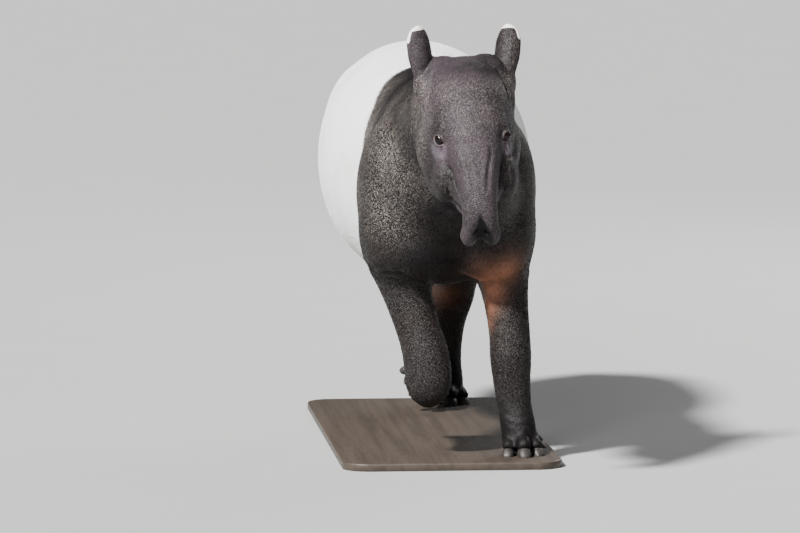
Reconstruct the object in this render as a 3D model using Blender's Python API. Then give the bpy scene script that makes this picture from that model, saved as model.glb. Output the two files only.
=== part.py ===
"""A malayan tapir at a brisk walk, life size: a still display model on a flat base.

Metres, +Z up. The animal faces -Y and its left side is +X. Its left forefoot and both hind feet
stand on the base, and its right forefoot is lifted with the wrist folded. The flesh is lofted and
rounded pieces fused into one body, which thin cuts then part into head, neck, trunk, legs and feet.
Eyes, ears and hooves are solids of their own, set into hollows that keep the same narrow gap.
"""

import math

import bmesh
import bpy
import numpy as np
from mathutils import Euler, Matrix, Vector

# Driving sizes
SHOULDER_HEIGHT = 0.980
RUMP_HEIGHT = 1.035
BELLY_HEIGHT = 0.388
BARREL_HALF_WIDTH = 0.287
HEAD_PITCH = math.radians(35)
HEAD_YAW = math.radians(-1.5)
HEAD_ROLL = math.radians(-3)
HEAD_AT = Vector((0.013, -0.285, 0.945))
EYE_RADIUS = 0.0168
BASE_THICKNESS = 0.02
BASE_MARGIN = 0.075

# Making sizes
GAP = 0.0003
VOXEL = 0.005
SIDES = {"left": 1, "right": -1}


def clear_scene():
    for old in list(bpy.data.objects):
        bpy.data.objects.remove(old, do_unlink=True)


def object_from(name, mesh):
    made = bpy.data.objects.new(name, mesh)
    bpy.context.scene.collection.objects.link(made)
    return made


def object_from_bmesh(name, shape):
    bmesh.ops.recalc_face_normals(shape, faces=shape.faces)
    mesh = bpy.data.meshes.new(name)
    shape.to_mesh(mesh)
    shape.free()
    return object_from(name, mesh)


def eased(rows, steps):
    """The rows with more between them, on a Catmull-Rom curve through every column."""
    rows = np.array(rows, float)
    padded = np.vstack([2 * rows[0] - rows[1], rows, 2 * rows[-1] - rows[-2]])
    found = []
    for i in range(len(rows) - 1):
        before, first, second, after = padded[i : i + 4]
        for t in np.arange(steps) / steps:
            bend = (2 * before - 5 * first + 4 * second - after) * t**2
            turn = (3 * first - before - 3 * second + after) * t**3
            found.append(0.5 * (2 * first + (second - before) * t + bend + turn))
    return np.array(found + [rows[-1]])


def loft(name, rows, place=Matrix(), steps=4, around=28, square=2.0):
    """A closed tube through rows of x, y, z, half width, and reach to its two other sides.

    A ring stands square to the path. Its width runs along X, the first reach along X cross the path,
    and square above 2 makes the rings fuller at their corners.
    """
    rows = eased(rows, steps)
    centres = rows[:, :3]
    paths = np.gradient(centres, axis=0)
    shape = bmesh.new()
    rings = []
    for centre, path, (width, over, under) in zip(centres, paths, rows[:, 3:]):
        side = Vector((1, 0, 0))
        along = Vector(path).normalized()
        side = (side - along * side.dot(along)).normalized()
        rise = side.cross(along)
        ring = []
        for k in range(around):
            angle = 2 * math.pi * k / around
            across, up = math.cos(angle), math.sin(angle)
            across = math.copysign(abs(across) ** (2 / square), across) * width
            up = math.copysign(abs(up) ** (2 / square), up) * (over if up > 0 else under)
            ring.append(shape.verts.new(place @ (Vector(centre) + side * across + rise * up)))
        rings.append(ring)
    for one, two in zip(rings, rings[1:]):
        for k in range(around):
            n = (k + 1) % around
            shape.faces.new((one[k], one[n], two[n], two[k]))
    for ring in (rings[0], rings[-1]):
        shape.faces.new(ring)
    return object_from_bmesh(name, shape)


def ball(name, centre, radii, turn=(0, 0, 0), place=Matrix(), fine=16):
    """An ellipsoid, turned by degrees about X, Y and Z."""
    shape = bmesh.new()
    turned = Euler([math.radians(t) for t in turn]).to_matrix().to_4x4()
    grown = Matrix.Diagonal((*radii, 1))
    bmesh.ops.create_uvsphere(
        shape,
        u_segments=fine + fine // 2,
        v_segments=fine,
        radius=1,
        matrix=place @ Matrix.Translation(centre) @ turned @ grown,
    )
    return object_from_bmesh(name, shape)


def both_sides(row):
    """The row as it is, and as its mirror across the middle plane."""
    return row, (-row[0], *row[1:])


# The trunk

def trunk_pieces():
    """Chest, barrel and hindquarters as one loft, with the neck, shoulders and thighs set into it."""
    lift, drop, wide = RUMP_HEIGHT, BELLY_HEIGHT, BARREL_HALF_WIDTH
    # y, top, bottom, half width
    sections = [
        (-0.205, 0.690, 0.555, 0.075),
        (-0.180, 0.780, 0.500, 0.135),
        (-0.112, 0.890, 0.458, 0.174),
        (0.000, SHOULDER_HEIGHT - 0.012, 0.440, 0.194),
        (0.140, SHOULDER_HEIGHT, 0.426, 0.200),
        (0.290, SHOULDER_HEIGHT + 0.004, 0.412, 0.206),
        (0.420, lift - 0.040, drop + 0.010, wide * 0.86),
        (0.550, lift - 0.028, drop, wide * 0.965),
        (0.690, lift - 0.014, drop + 0.002, wide),
        (0.840, lift - 0.002, drop + 0.034, wide * 0.965),
        (0.970, lift, drop + 0.095, wide * 0.88),
        (1.080, lift - 0.028, drop + 0.155, wide * 0.78),
        (1.170, lift - 0.088, drop + 0.200, wide * 0.66),
        (1.230, lift - 0.165, drop + 0.250, wide * 0.48),
        (1.262, lift - 0.240, drop + 0.300, wide * 0.27),
    ]
    rows = []
    for y, top, bottom, half in sections:
        middle = bottom + 0.51 * (top - bottom)
        rows.append((0, y, middle, half, top - middle, middle - bottom))
    yield loft("trunk", rows, around=48, square=2.04)

    # From the back of the head down into the shoulders
    yield loft("neck", [
        (0.0, -0.330, 0.950, 0.100, 0.110, 0.090),
        (0.0, -0.255, 0.915, 0.124, 0.140, 0.118),
        (0.0, -0.180, 0.872, 0.138, 0.152, 0.145),
        (0.0, -0.100, 0.826, 0.152, 0.172, 0.195),
        (0.0, -0.010, 0.776, 0.168, 0.195, 0.235),
        (0.0, 0.100, 0.734, 0.182, 0.215, 0.250),
    ], around=40, square=2.1)

    for side in SIDES.values():
        yield ball("shoulder", (side * 0.147, 0.050, 0.708), (0.089, 0.150, 0.185), (20, side * -5, 0))
        yield ball("upper_arm", (side * 0.154, 0.020, 0.590), (0.080, 0.140, 0.150), (-30, 0, 0))
        yield ball("breast", (side * 0.088, -0.070, 0.570), (0.092, 0.092, 0.120), (12, 0, 0))
        yield ball("haunch", (side * 0.140, 0.990, 0.760), (0.118, 0.190, 0.210), (0, side * -4, 0))
        yield ball("buttock", (side * 0.076, 1.128, 0.720), (0.100, 0.110, 0.165), (16, 0, 0))


def tail_piece():
    return loft("tail", [
        (0.0, 1.190, 0.880, 0.044, 0.040, 0.040),
        (0.0, 1.255, 0.855, 0.036, 0.032, 0.032),
        (0.0, 1.300, 0.815, 0.028, 0.025, 0.025),
        (0.0, 1.322, 0.765, 0.021, 0.019, 0.019),
        (0.0, 1.328, 0.725, 0.016, 0.014, 0.014),
        (0.0, 1.328, 0.700, 0.009, 0.008, 0.008),
    ], around=20)


# The legs: x, y, z, half width, reach to the back, reach to the front

LEGS = {
    "fore_left": [
        (0.148, 0.030, 0.700, 0.060, 0.090, 0.090),
        (0.152, 0.030, 0.600, 0.074, 0.118, 0.100),
        (0.147, 0.038, 0.515, 0.076, 0.104, 0.088),
        (0.148, 0.030, 0.450, 0.069, 0.082, 0.072),
        (0.155, 0.015, 0.385, 0.060, 0.064, 0.060),
        (0.161, 0.004, 0.315, 0.055, 0.055, 0.054),
        (0.164, -0.002, 0.245, 0.0545, 0.056, 0.054),
        (0.168, 0.000, 0.180, 0.0490, 0.047, 0.043),
        (0.175, -0.002, 0.120, 0.0450, 0.043, 0.041),
        (0.183, -0.012, 0.070, 0.0465, 0.044, 0.048),
        (0.186, -0.020, 0.032, 0.0460, 0.042, 0.046),
        (0.187, -0.022, 0.012, 0.0400, 0.036, 0.040),
    ],
    "fore_right": [
        (-0.148, 0.030, 0.700, 0.060, 0.090, 0.090),
        (-0.150, 0.028, 0.600, 0.074, 0.118, 0.100),
        (-0.138, 0.030, 0.520, 0.076, 0.104, 0.092),
        (-0.116, 0.018, 0.455, 0.071, 0.080, 0.076),
        (-0.098, 0.002, 0.395, 0.064, 0.066, 0.066),
        (-0.077, -0.012, 0.325, 0.059, 0.058, 0.060),
        (-0.062, -0.024, 0.272, 0.061, 0.056, 0.058),
        (-0.055, -0.032, 0.222, 0.062, 0.058, 0.056),
        (-0.054, -0.034, 0.182, 0.060, 0.055, 0.053),
        (-0.054, -0.034, 0.152, 0.047, 0.044, 0.042),
        (-0.054, -0.033, 0.134, 0.028, 0.026, 0.026),
        (-0.054, -0.033, 0.124, 0.012, 0.012, 0.012),
    ],
    "hind_left": [
        (0.130, 0.990, 0.730, 0.075, 0.130, 0.150),
        (0.146, 0.950, 0.640, 0.092, 0.165, 0.140),
        (0.150, 0.940, 0.560, 0.086, 0.150, 0.112),
        (0.146, 0.980, 0.480, 0.070, 0.110, 0.088),
        (0.126, 1.054, 0.405, 0.074, 0.078, 0.070),
        (0.123, 1.122, 0.340, 0.069, 0.060, 0.058),
        (0.121, 1.154, 0.285, 0.062, 0.054, 0.050),
        (0.115, 1.145, 0.225, 0.0460, 0.043, 0.041),
        (0.109, 1.126, 0.165, 0.0400, 0.038, 0.038),
        (0.105, 1.112, 0.110, 0.0410, 0.042, 0.042),
        (0.105, 1.100, 0.065, 0.0445, 0.044, 0.048),
        (0.106, 1.092, 0.030, 0.0430, 0.040, 0.044),
        (0.106, 1.090, 0.012, 0.0370, 0.034, 0.038),
    ],
    "hind_right": [
        (-0.130, 0.990, 0.730, 0.075, 0.130, 0.150),
        (-0.138, 0.920, 0.640, 0.092, 0.165, 0.140),
        (-0.126, 0.882, 0.565, 0.086, 0.150, 0.112),
        (-0.080, 0.902, 0.492, 0.076, 0.112, 0.088),
        (-0.036, 0.950, 0.422, 0.064, 0.078, 0.068),
        (-0.008, 0.990, 0.362, 0.056, 0.058, 0.056),
        (0.004, 1.010, 0.312, 0.051, 0.056, 0.050),
        (0.010, 0.998, 0.262, 0.0420, 0.044, 0.042),
        (0.017, 0.966, 0.214, 0.0360, 0.037, 0.037),
        (0.024, 0.942, 0.172, 0.0385, 0.040, 0.040),
        (0.030, 0.922, 0.136, 0.0430, 0.043, 0.046),
        (0.033, 0.926, 0.104, 0.0430, 0.040, 0.044),
        (0.033, 0.932, 0.086, 0.0370, 0.034, 0.038),
    ],
}

# The folded forefoot: the shank runs back from the wrist, and the toes hang from its end
FOLDED_SHANK = [
    (-0.054, -0.052, 0.196, 0.046, 0.046, 0.040),
    (-0.053, -0.016, 0.192, 0.056, 0.052, 0.054),
    (-0.051, 0.030, 0.192, 0.050, 0.042, 0.046),
    (-0.049, 0.078, 0.191, 0.046, 0.038, 0.041),
    (-0.046, 0.120, 0.189, 0.046, 0.042, 0.042),
    (-0.044, 0.152, 0.184, 0.044, 0.042, 0.042),
    (-0.043, 0.180, 0.174, 0.038, 0.036, 0.036),
]


class Foot:
    """A foot's place and its toes."""

    def __init__(self, at, heading, side, toes, tip=0.0):
        turn = Matrix.Rotation(math.radians(heading), 4, "Z")
        self.place = Matrix.Translation(at) @ turn @ Matrix.Rotation(math.radians(tip), 4, "X")
        self.side = side
        self.toes = toes


# Each toe's place out to the side and ahead, degrees turned out, size, and height off the ground
FORE_TOES = [
    (-0.036, 0.030, -17, 0.88, 0.0),
    (0.0, 0.052, 0, 1.0, 0.0),
    (0.036, 0.030, 17, 0.88, 0.0),
    (0.048, -0.008, 62, 0.68, 0.014),
]
FOLDED_TOES = [
    (-0.034, 0.028, -14, 0.84, 0.0),
    (0.0, 0.048, 0, 0.96, 0.0),
    (0.034, 0.028, 14, 0.84, 0.0),
    (0.048, -0.008, 54, 0.64, 0.014),
]
HIND_TOES = [
    (-0.036, 0.030, -17, 0.86, 0.0),
    (0.0, 0.052, 0, 1.0, 0.0),
    (0.036, 0.030, 17, 0.86, 0.0),
]

FEET = {
    "fore_left": Foot((0.187, -0.022, 0.0), 4, 1, FORE_TOES),
    "fore_right": Foot((-0.042, 0.214, 0.202), 4, -1, FOLDED_TOES, tip=118),
    "hind_left": Foot((0.106, 1.090, 0.0), 2, 1, HIND_TOES),
    "hind_right": Foot((0.033, 0.932, 0.066), -2, -1, HIND_TOES, tip=24),
}
HOOF_WIDTH = 0.0185
HOOF_LENGTH = 0.042
HOOF_HEIGHT = 0.030
HOOF_SIDES = 10


def toe_place(foot, toe):
    out, ahead, heading, size, height = toe
    at = Matrix.Translation((out * foot.side, -ahead, height))
    turn = Matrix.Rotation(math.radians(heading * foot.side), 4, "Z")
    return foot.place @ at @ turn @ Matrix.Scale(size, 4)


def toe_flesh(name, foot, toe):
    return loft(name, [
        (0, 0.036, 0.046, 0.019, 0.022, 0.020),
        (0, 0.012, 0.036, 0.0205, 0.022, 0.022),
        (0, -0.006, 0.026, 0.0200, 0.017, 0.021),
        (0, -0.015, 0.019, 0.0160, 0.011, 0.013),
    ], toe_place(foot, toe), around=16)


def hoof(name, foot, toe, grow=0.0):
    """A rounded nail-like hoof with a flat sole, its tip forward, made larger all round by grow."""
    place = toe_place(foot, toe)
    extra = grow / place.median_scale
    shape = bmesh.new()
    rings = []
    # share of the length from the back, then of the width and height
    for share, wide, high in (
        (0.0, 0.92, 0.96), (0.30, 1.0, 0.98), (0.58, 0.97, 0.80), (0.82, 0.82, 0.50), (1.0, 0.50, 0.16)
    ):
        y = 0.008 - share * HOOF_LENGTH + extra * (1 - 2 * share)
        ring = []
        for k in range(HOOF_SIDES):
            angle = math.pi * k / (HOOF_SIDES - 1)
            x = math.cos(angle) * (HOOF_WIDTH * wide + extra)
            z = math.sin(angle) ** 0.8 * (HOOF_HEIGHT * high + 2 * extra) - extra
            ring.append(shape.verts.new(place @ Vector((x, y, z))))
        rings.append(ring)
    for one, two in zip(rings, rings[1:]):
        for k in range(HOOF_SIDES):
            n = (k + 1) % HOOF_SIDES
            shape.faces.new((one[k], one[n], two[n], two[k]))
    for ring in (rings[0], rings[-1]):
        shape.faces.new(ring)
    return object_from_bmesh(name, shape)


def leg_pieces():
    for name, rows in LEGS.items():
        yield loft(name, rows, around=28, square=2.1)
    yield loft("folded_shank", FOLDED_SHANK, around=28, square=2.1)
    for name, heel in (("left", (0.135, 1.176, 0.316)), ("right", (-0.010, 1.068, 0.340))):
        yield ball("heel_" + name, heel, (0.024, 0.028, 0.050), (-20, 0, 0))
    yield ball("elbow_left", (0.155, 0.118, 0.500), (0.040, 0.040, 0.060))
    yield ball("elbow_right", (-0.142, 0.116, 0.505), (0.040, 0.040, 0.060))
    for name, foot in FEET.items():
        for number, toe in enumerate(foot.toes):
            yield toe_flesh(f"toe_{name}_{number}", foot, toe)
        yield ball("pad_" + name, (0, 0.012, 0.026), (0.040, 0.034, 0.026), place=foot.place)


# The head, in a frame of its own: origin where it joins the neck, snout towards -Y, mouth line level

def head_frame():
    turn = Euler((HEAD_PITCH, 0, 0)).to_matrix().to_4x4()
    sway = Euler((0, HEAD_ROLL, HEAD_YAW)).to_matrix().to_4x4()
    return Matrix.Translation(HEAD_AT) @ sway @ turn


EYE_AT = (0.0785, -0.240, 0.066)
EYE_LOOK = (0.68, -0.68, 0.28)
EAR_AT = (0.097, -0.022, 0.096)
EAR_LEAN = {1: 10, -1: 6}
EAR_BACK = {1: -22, -1: -2}
EAR_LENGTH = 0.128
EAR_HALF_WIDTH = 0.045
EAR_THICK = 0.0062
EAR_BURIED = 0.014

SKULL = [
    (0, -0.375, -0.010, 0.038, 0.030, 0.030),
    (0, -0.350, 0.004, 0.052, 0.052, 0.052),
    (0, -0.310, 0.008, 0.068, 0.080, 0.076),
    (0, -0.265, 0.008, 0.086, 0.106, 0.100),
    (0, -0.215, 0.008, 0.103, 0.128, 0.120),
    (0, -0.160, 0.006, 0.114, 0.142, 0.132),
    (0, -0.105, 0.006, 0.118, 0.148, 0.134),
    (0, -0.050, 0.010, 0.113, 0.142, 0.118),
    (0, 0.005, 0.016, 0.104, 0.118, 0.098),
    (0, 0.045, 0.022, 0.086, 0.094, 0.080),
]
PROBOSCIS = [
    (0, -0.457, -0.076, 0.036, 0.020, 0.020),
    (0, -0.456, -0.046, 0.045, 0.031, 0.030),
    (0, -0.444, -0.018, 0.045, 0.036, 0.036),
    (0, -0.415, 0.008, 0.046, 0.040, 0.042),
    (0, -0.375, 0.028, 0.052, 0.045, 0.046),
    (0, -0.328, 0.042, 0.061, 0.053, 0.050),
    (0, -0.280, 0.048, 0.069, 0.059, 0.058),
    (0, -0.225, 0.044, 0.062, 0.052, 0.052),
]


def mirrored(point, side):
    return (side * point[0], *point[1:])


def ear_place(side):
    """The frame of an ear: up along it from its root, its opening towards +Y and turned outwards."""
    return (
        head_frame()
        @ Matrix.Translation(mirrored(EAR_AT, side))
        @ Matrix.Rotation(-HEAD_PITCH, 4, "X")
        @ Matrix.Rotation(math.radians(EAR_LEAN[side] * side), 4, "Y")
        @ Matrix.Rotation(math.radians(EAR_BACK[side]), 4, "X")
        @ Matrix.Rotation(math.radians(side * -32), 4, "Z")
    )


def ear_section(t):
    """Radius and half angle of the arc, and half the wall, at a share of the ear's height."""
    broad = 0.70 + 0.31 * math.sin(math.pi * min(t, 0.5)) - 0.25 * max(0.0, t - 0.5)
    if t > 0.64:
        broad *= math.sqrt(max(0.004, 1 - ((t - 0.64) / 0.361) ** 2))
    curl = math.radians(86 - 30 * t)
    radius = EAR_HALF_WIDTH * broad / curl
    return radius, curl, min(EAR_THICK * (1 - 0.45 * t), 0.8 * radius) / 2


def head_pieces():
    place = head_frame()
    yield loft("skull", SKULL, place, around=40, square=2.45)
    yield loft("proboscis", PROBOSCIS, place, around=32, square=2.3)
    for side in SIDES.values():
        aside = (-14, 0, side * -8)
        yield ball("cheek", (side * 0.080, -0.138, -0.056), (0.052, 0.108, 0.092), aside, place)
        yield ball("jowl", (side * 0.064, -0.206, -0.066), (0.054, 0.104, 0.058), (-4, 0, side * 8), place)
        yield ball("cheek_front", (side * 0.064, -0.258, -0.024), (0.040, 0.092, 0.070), (0, 0, side * 14), place)
        yield ball("crown", (side * 0.052, -0.020, 0.096), (0.055, 0.060, 0.034), (8, 0, 0), place)
        aside = (24, 0, side * 10)
        yield ball("brow", (side * 0.068, -0.212, 0.088), (0.021, 0.042, 0.021), aside, place)
        aside = (20, 0, side * 16)
        yield ball("under_eye", (side * 0.072, -0.252, 0.036), (0.020, 0.038, 0.028), aside, place)
        yield ball("eye_mound", mirrored(EYE_AT, side), (0.0214, 0.0228, 0.0219), place=place)
        yield loft("ear_base", [
            (side * -0.006, 0.020, -0.050, 0.034, 0.034, 0.030),
            (side * -0.008, 0.018, -0.022, 0.038, 0.032, 0.028),
            (side * -0.012, 0.016, 0.002, 0.036, 0.028, 0.022),
            (side * -0.016, 0.014, 0.026, 0.029, 0.022, 0.014),
            (side * -0.018, 0.013, 0.046, 0.022, 0.014, 0.008),
            (side * -0.020, 0.012, 0.062, 0.010, 0.006, 0.004),
        ], ear_place(side), around=20)
        yield loft("ear_root", [
            (side * 0.097, -0.140, 0.034, 0.014, 0.016, 0.016),
            (side * 0.101, -0.105, 0.054, 0.020, 0.026, 0.024),
            (side * 0.101, -0.068, 0.072, 0.022, 0.028, 0.026),
            (side * 0.097, -0.034, 0.086, 0.024, 0.026, 0.026),
        ], place, around=18)
        yield loft("lip", [
            (side * 0.016, -0.398, -0.022, 0.020, 0.018, 0.022),
            (side * 0.038, -0.362, -0.016, 0.020, 0.022, 0.022),
            (side * 0.058, -0.318, -0.010, 0.019, 0.026, 0.022),
            (side * 0.074, -0.272, -0.002, 0.018, 0.028, 0.022),
        ], place, around=18)
        yield ball("snout_lobe", (side * 0.027, -0.459, -0.064), (0.025, 0.024, 0.036), (0, 0, 0), place)
    yield loft("chin", [
        (0, -0.380, -0.062, 0.034, 0.016, 0.018),
        (0, -0.354, -0.064, 0.049, 0.030, 0.028),
        (0, -0.305, -0.066, 0.062, 0.042, 0.042),
        (0, -0.240, -0.068, 0.075, 0.044, 0.062),
    ], place, around=24, square=2.3)


def eye_opening(name, side):
    """An almond-shaped wedge from the middle of the eye out through its lids."""
    place = head_frame() @ Matrix.Translation(mirrored(EYE_AT, side))
    look = Vector(mirrored(EYE_LOOK, side)).normalized()
    across = look.cross(Vector((0, 0, 1))).normalized()
    across = (across - Vector((0, 0, 0.22 * (1 if across.y < 0 else -1)))).normalized()
    rise = across.cross(look).normalized()
    shape = bmesh.new()
    rings = []
    for reach, wide, high in ((0.006, 0.30, 0.30), (EYE_RADIUS, 0.0147, 0.0113), (0.030, 0.0235, 0.0190)):
        wide, high = (0.0036, 0.0025) if reach < 0.01 else (wide, high)
        ring = []
        for k in range(16):
            angle = 2 * math.pi * k / 16
            x = math.cos(angle) * wide
            y = math.sin(angle) * abs(math.sin(angle)) ** 0.25 * high
            ring.append(shape.verts.new(place @ (look * reach + across * x + rise * y)))
        rings.append(ring)
    for one, two in zip(rings, rings[1:]):
        for k in range(16):
            n = (k + 1) % 16
            shape.faces.new((one[k], one[n], two[n], two[k]))
    for ring in (rings[0], rings[-1]):
        shape.faces.new(ring)
    return object_from_bmesh(name, shape)


def nostril(name, side):
    """A slanting oval hollow in the front of the snout's end."""
    return loft(name, [
        (side * 0.0165, -0.524, -0.070, 0.0095, 0.0080, 0.0080),
        (side * 0.0170, -0.490, -0.052, 0.0090, 0.0080, 0.0080),
        (side * 0.0165, -0.466, -0.039, 0.0080, 0.0065, 0.0065),
        (side * 0.0145, -0.450, -0.030, 0.0050, 0.0040, 0.0040),
    ], head_frame(), around=12)


def ear(name, side, grow=0.0, rows=9, columns=6):
    """A cupped paddle with a rounded tip: its section is an arc, deep at the root and shallow above."""
    place = ear_place(side)
    shape = bmesh.new()
    skins = []
    for face in (1, -1):
        skin = []
        for i in range(rows + 1):
            t = 1 - (1 - i / rows) ** 1.35
            radius, curl, wall = ear_section(t)
            wall += grow
            curl += grow / radius
            row = []
            for j in range(columns + 1):
                v = -1 + 2 * j / columns
                reach = radius + face * wall
                x = reach * math.sin(curl * v)
                y = radius - reach * math.cos(curl * v) - 0.008 * math.sin(math.pi * t)
                z = t * (EAR_LENGTH + EAR_BURIED) - EAR_BURIED + grow * (2 * t - 1)
                row.append(shape.verts.new(place @ Vector((x, y, z))))
            skin.append(row)
        skins.append(skin)
    outer, inner = skins
    for i in range(rows):
        for j in range(columns):
            shape.faces.new((outer[i][j], outer[i][j + 1], outer[i + 1][j + 1], outer[i + 1][j]))
            shape.faces.new((inner[i][j], inner[i + 1][j], inner[i + 1][j + 1], inner[i][j + 1]))
    for i in range(rows):
        for j in (0, columns):
            shape.faces.new((outer[i][j], outer[i + 1][j], inner[i + 1][j], inner[i][j]))
    for j in range(columns):
        for i in (0, rows):
            shape.faces.new((outer[i][j], outer[i][j + 1], inner[i][j + 1], inner[i][j]))
    return object_from_bmesh(name, shape)


def eyeball(name, side, grow=0.0):
    radius = EYE_RADIUS + grow
    return ball(name, mirrored(EYE_AT, side), (radius,) * 3, place=head_frame(), fine=10)


# Fusing, rounding, carving and parting

def join(name, pieces):
    shape = bmesh.new()
    for piece in pieces:
        shape.from_mesh(piece.data)
        bpy.data.objects.remove(piece, do_unlink=True)
    mesh = bpy.data.meshes.new(name)
    shape.to_mesh(mesh)
    shape.free()
    return object_from(name, mesh)


def settle(body):
    """Put what the modifiers make in place of the body's mesh."""
    bpy.context.view_layer.update()
    graph = bpy.context.evaluated_depsgraph_get()
    mesh = bpy.data.meshes.new_from_object(body.evaluated_get(graph))
    body.modifiers.clear()
    body.data = mesh


def fuse(body, voxel):
    remesh = body.modifiers.new("fuse", "REMESH")
    remesh.mode = "VOXEL"
    remesh.voxel_size = voxel
    settle(body)


def points_of(mesh):
    found = np.empty(len(mesh.vertices) * 3)
    mesh.vertices.foreach_get("co", found)
    return found.reshape(-1, 3)


def ramp(value, low, high):
    t = np.clip((value - low) / (high - low), 0, 1)
    return t * t * (3 - 2 * t)


def headness(points):
    """1 on the head, falling to 0 down the neck."""
    return ramp(-points[:, 1], 0.20, 0.30)


def tailness(points):
    """1 on the tail's free end."""
    return ramp(points[:, 1], 1.262, 1.285)


def relax(body, rounds=400):
    """Even out the joins between muscles, strongly on the trunk and little on the head and feet."""
    mesh = body.data
    points = points_of(mesh)
    ends = np.empty(len(mesh.edges) * 2, dtype=np.int64)
    mesh.edges.foreach_get("vertices", ends)
    one, two = ends.reshape(-1, 2).T
    count = np.bincount(np.concatenate([one, two]), minlength=len(points))[:, None]
    legs = 1 - ramp(points[:, 2], 0.26, 0.46)
    kept = np.maximum(0.94 * headness(points), np.maximum(0.97 * legs, 0.98 * tailness(points)))
    strength = (0.55 * (1 - kept))[:, None]
    for turn in range(rounds):
        total = np.zeros_like(points)
        for axis in range(3):
            total[:, axis] = np.bincount(one, points[two, axis], len(points))
            total[:, axis] += np.bincount(two, points[one, axis], len(points))
        step = 1.0 if turn % 2 == 0 else -0.50
        points += step * strength * (total / count - points)
    mesh.vertices.foreach_set("co", points.ravel())
    mesh.update()


def thin_out(body, triangles):
    """Collapse edges down to a number of triangles, and keep the head and feet finer than the trunk."""
    points = points_of(body.data)
    feet = 0.6 * (1 - ramp(points[:, 2], 0.10, 0.40))
    fine = np.maximum(headness(points), np.maximum(feet, tailness(points)))
    group = body.vertex_groups.new(name="coarse")
    for level in range(11):
        chosen = np.nonzero(np.round(fine * 10) == level)[0]
        if len(chosen):
            group.add(chosen.tolist(), 1 - 0.025 * level, "REPLACE")
    for divide in (1, 0):
        faces = sum(len(p.vertices) - 2 for p in body.data.polygons)
        thin = body.modifiers.new("thin", "DECIMATE")
        thin.vertex_group = "coarse" if divide else ""
        thin.ratio = min(1.0, (triangles * (1.35 if divide else 1.0)) / faces)
        thin.use_collapse_triangulate = True
        settle(body)


def volume_of(mesh):
    """The volume inside a closed mesh, and 0 for one that has an open or a doubled edge."""
    shape = bmesh.new()
    shape.from_mesh(mesh)
    closed = all(len(edge.link_faces) == 2 for edge in shape.edges)
    volume = shape.calc_volume() if closed else 0.0
    shape.free()
    return volume


def carve(body, cutters):
    """Cut each cutter away, exactly where that leaves a closed body less no more than the cutter."""
    for cutter in cutters:
        cutter.hide_render = True
        whole = body.data
        least = volume_of(whole) - abs(volume_of(cutter.data)) - 1e-7
        for solver in ("EXACT", "MANIFOLD"):
            cut = body.modifiers.new("carve", "BOOLEAN")
            cut.operation, cut.solver, cut.object = "DIFFERENCE", solver, cutter
            settle(body)
            if volume_of(body.data) > max(least, 0.0):
                break
            if solver == "EXACT":
                body.data = whole
        bpy.data.objects.remove(cutter, do_unlink=True)


def flesh():
    """The whole animal but its eyes, ears and hooves, as one closed body."""
    body = join("flesh", [*trunk_pieces(), tail_piece(), *leg_pieces(), *head_pieces()])
    fuse(body, VOXEL)
    relax(body)
    thin_out(body, 6000)
    return body


def seats():
    """Hollows for the eyes, ears and hooves, and the openings of lids and nostrils."""
    for name, side in SIDES.items():
        yield eyeball("socket_" + name, side, GAP)
        yield eye_opening("lids_" + name, side)
        yield nostril("nostril_" + name, side)
        yield ear("ear_seat_" + name, side, 2 * GAP)
    for name, foot in FEET.items():
        for number, toe in enumerate(foot.toes):
            yield hoof(f"hoof_seat_{name}_{number}", foot, toe, 2 * GAP)


def plate(name, middle, size, turn=(0, 0, 0), place=Matrix(), thick=GAP):
    """A thin upright plate square to Y, turned by degrees about X, Y and Z."""
    shape = bmesh.new()
    turned = Euler([math.radians(t) for t in turn]).to_matrix().to_4x4()
    spread = Matrix.Diagonal((size[0], thick, size[1], 1))
    bmesh.ops.create_cube(shape, size=1, matrix=place @ Matrix.Translation(middle) @ turned @ spread)
    return object_from_bmesh(name, shape)


def shell(name, foot, top, half_width, reach):
    """A thin bell-shaped shell over the top of a leg, closed flat below where the leg leaves the trunk."""
    foot, top = Vector(foot), Vector(top)
    rings = ((0.0, 1.0), (0.10, 1.0), (0.34, 1.0), (0.60, 0.90), (0.80, 0.70), (0.93, 0.42), (1.0, 0.12))
    sides = []
    for inset in (0, GAP):
        rows = []
        for share, size in rings:
            at = foot.lerp(top, share)
            at.z += inset * (1 - 2 * share)
            rows.append((*at, half_width * size - inset, reach * size - inset, reach * size - inset))
        sides.append(loft(name, rows, steps=1, around=14))
    sides[1].data.flip_normals()
    return join(name, sides)


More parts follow.
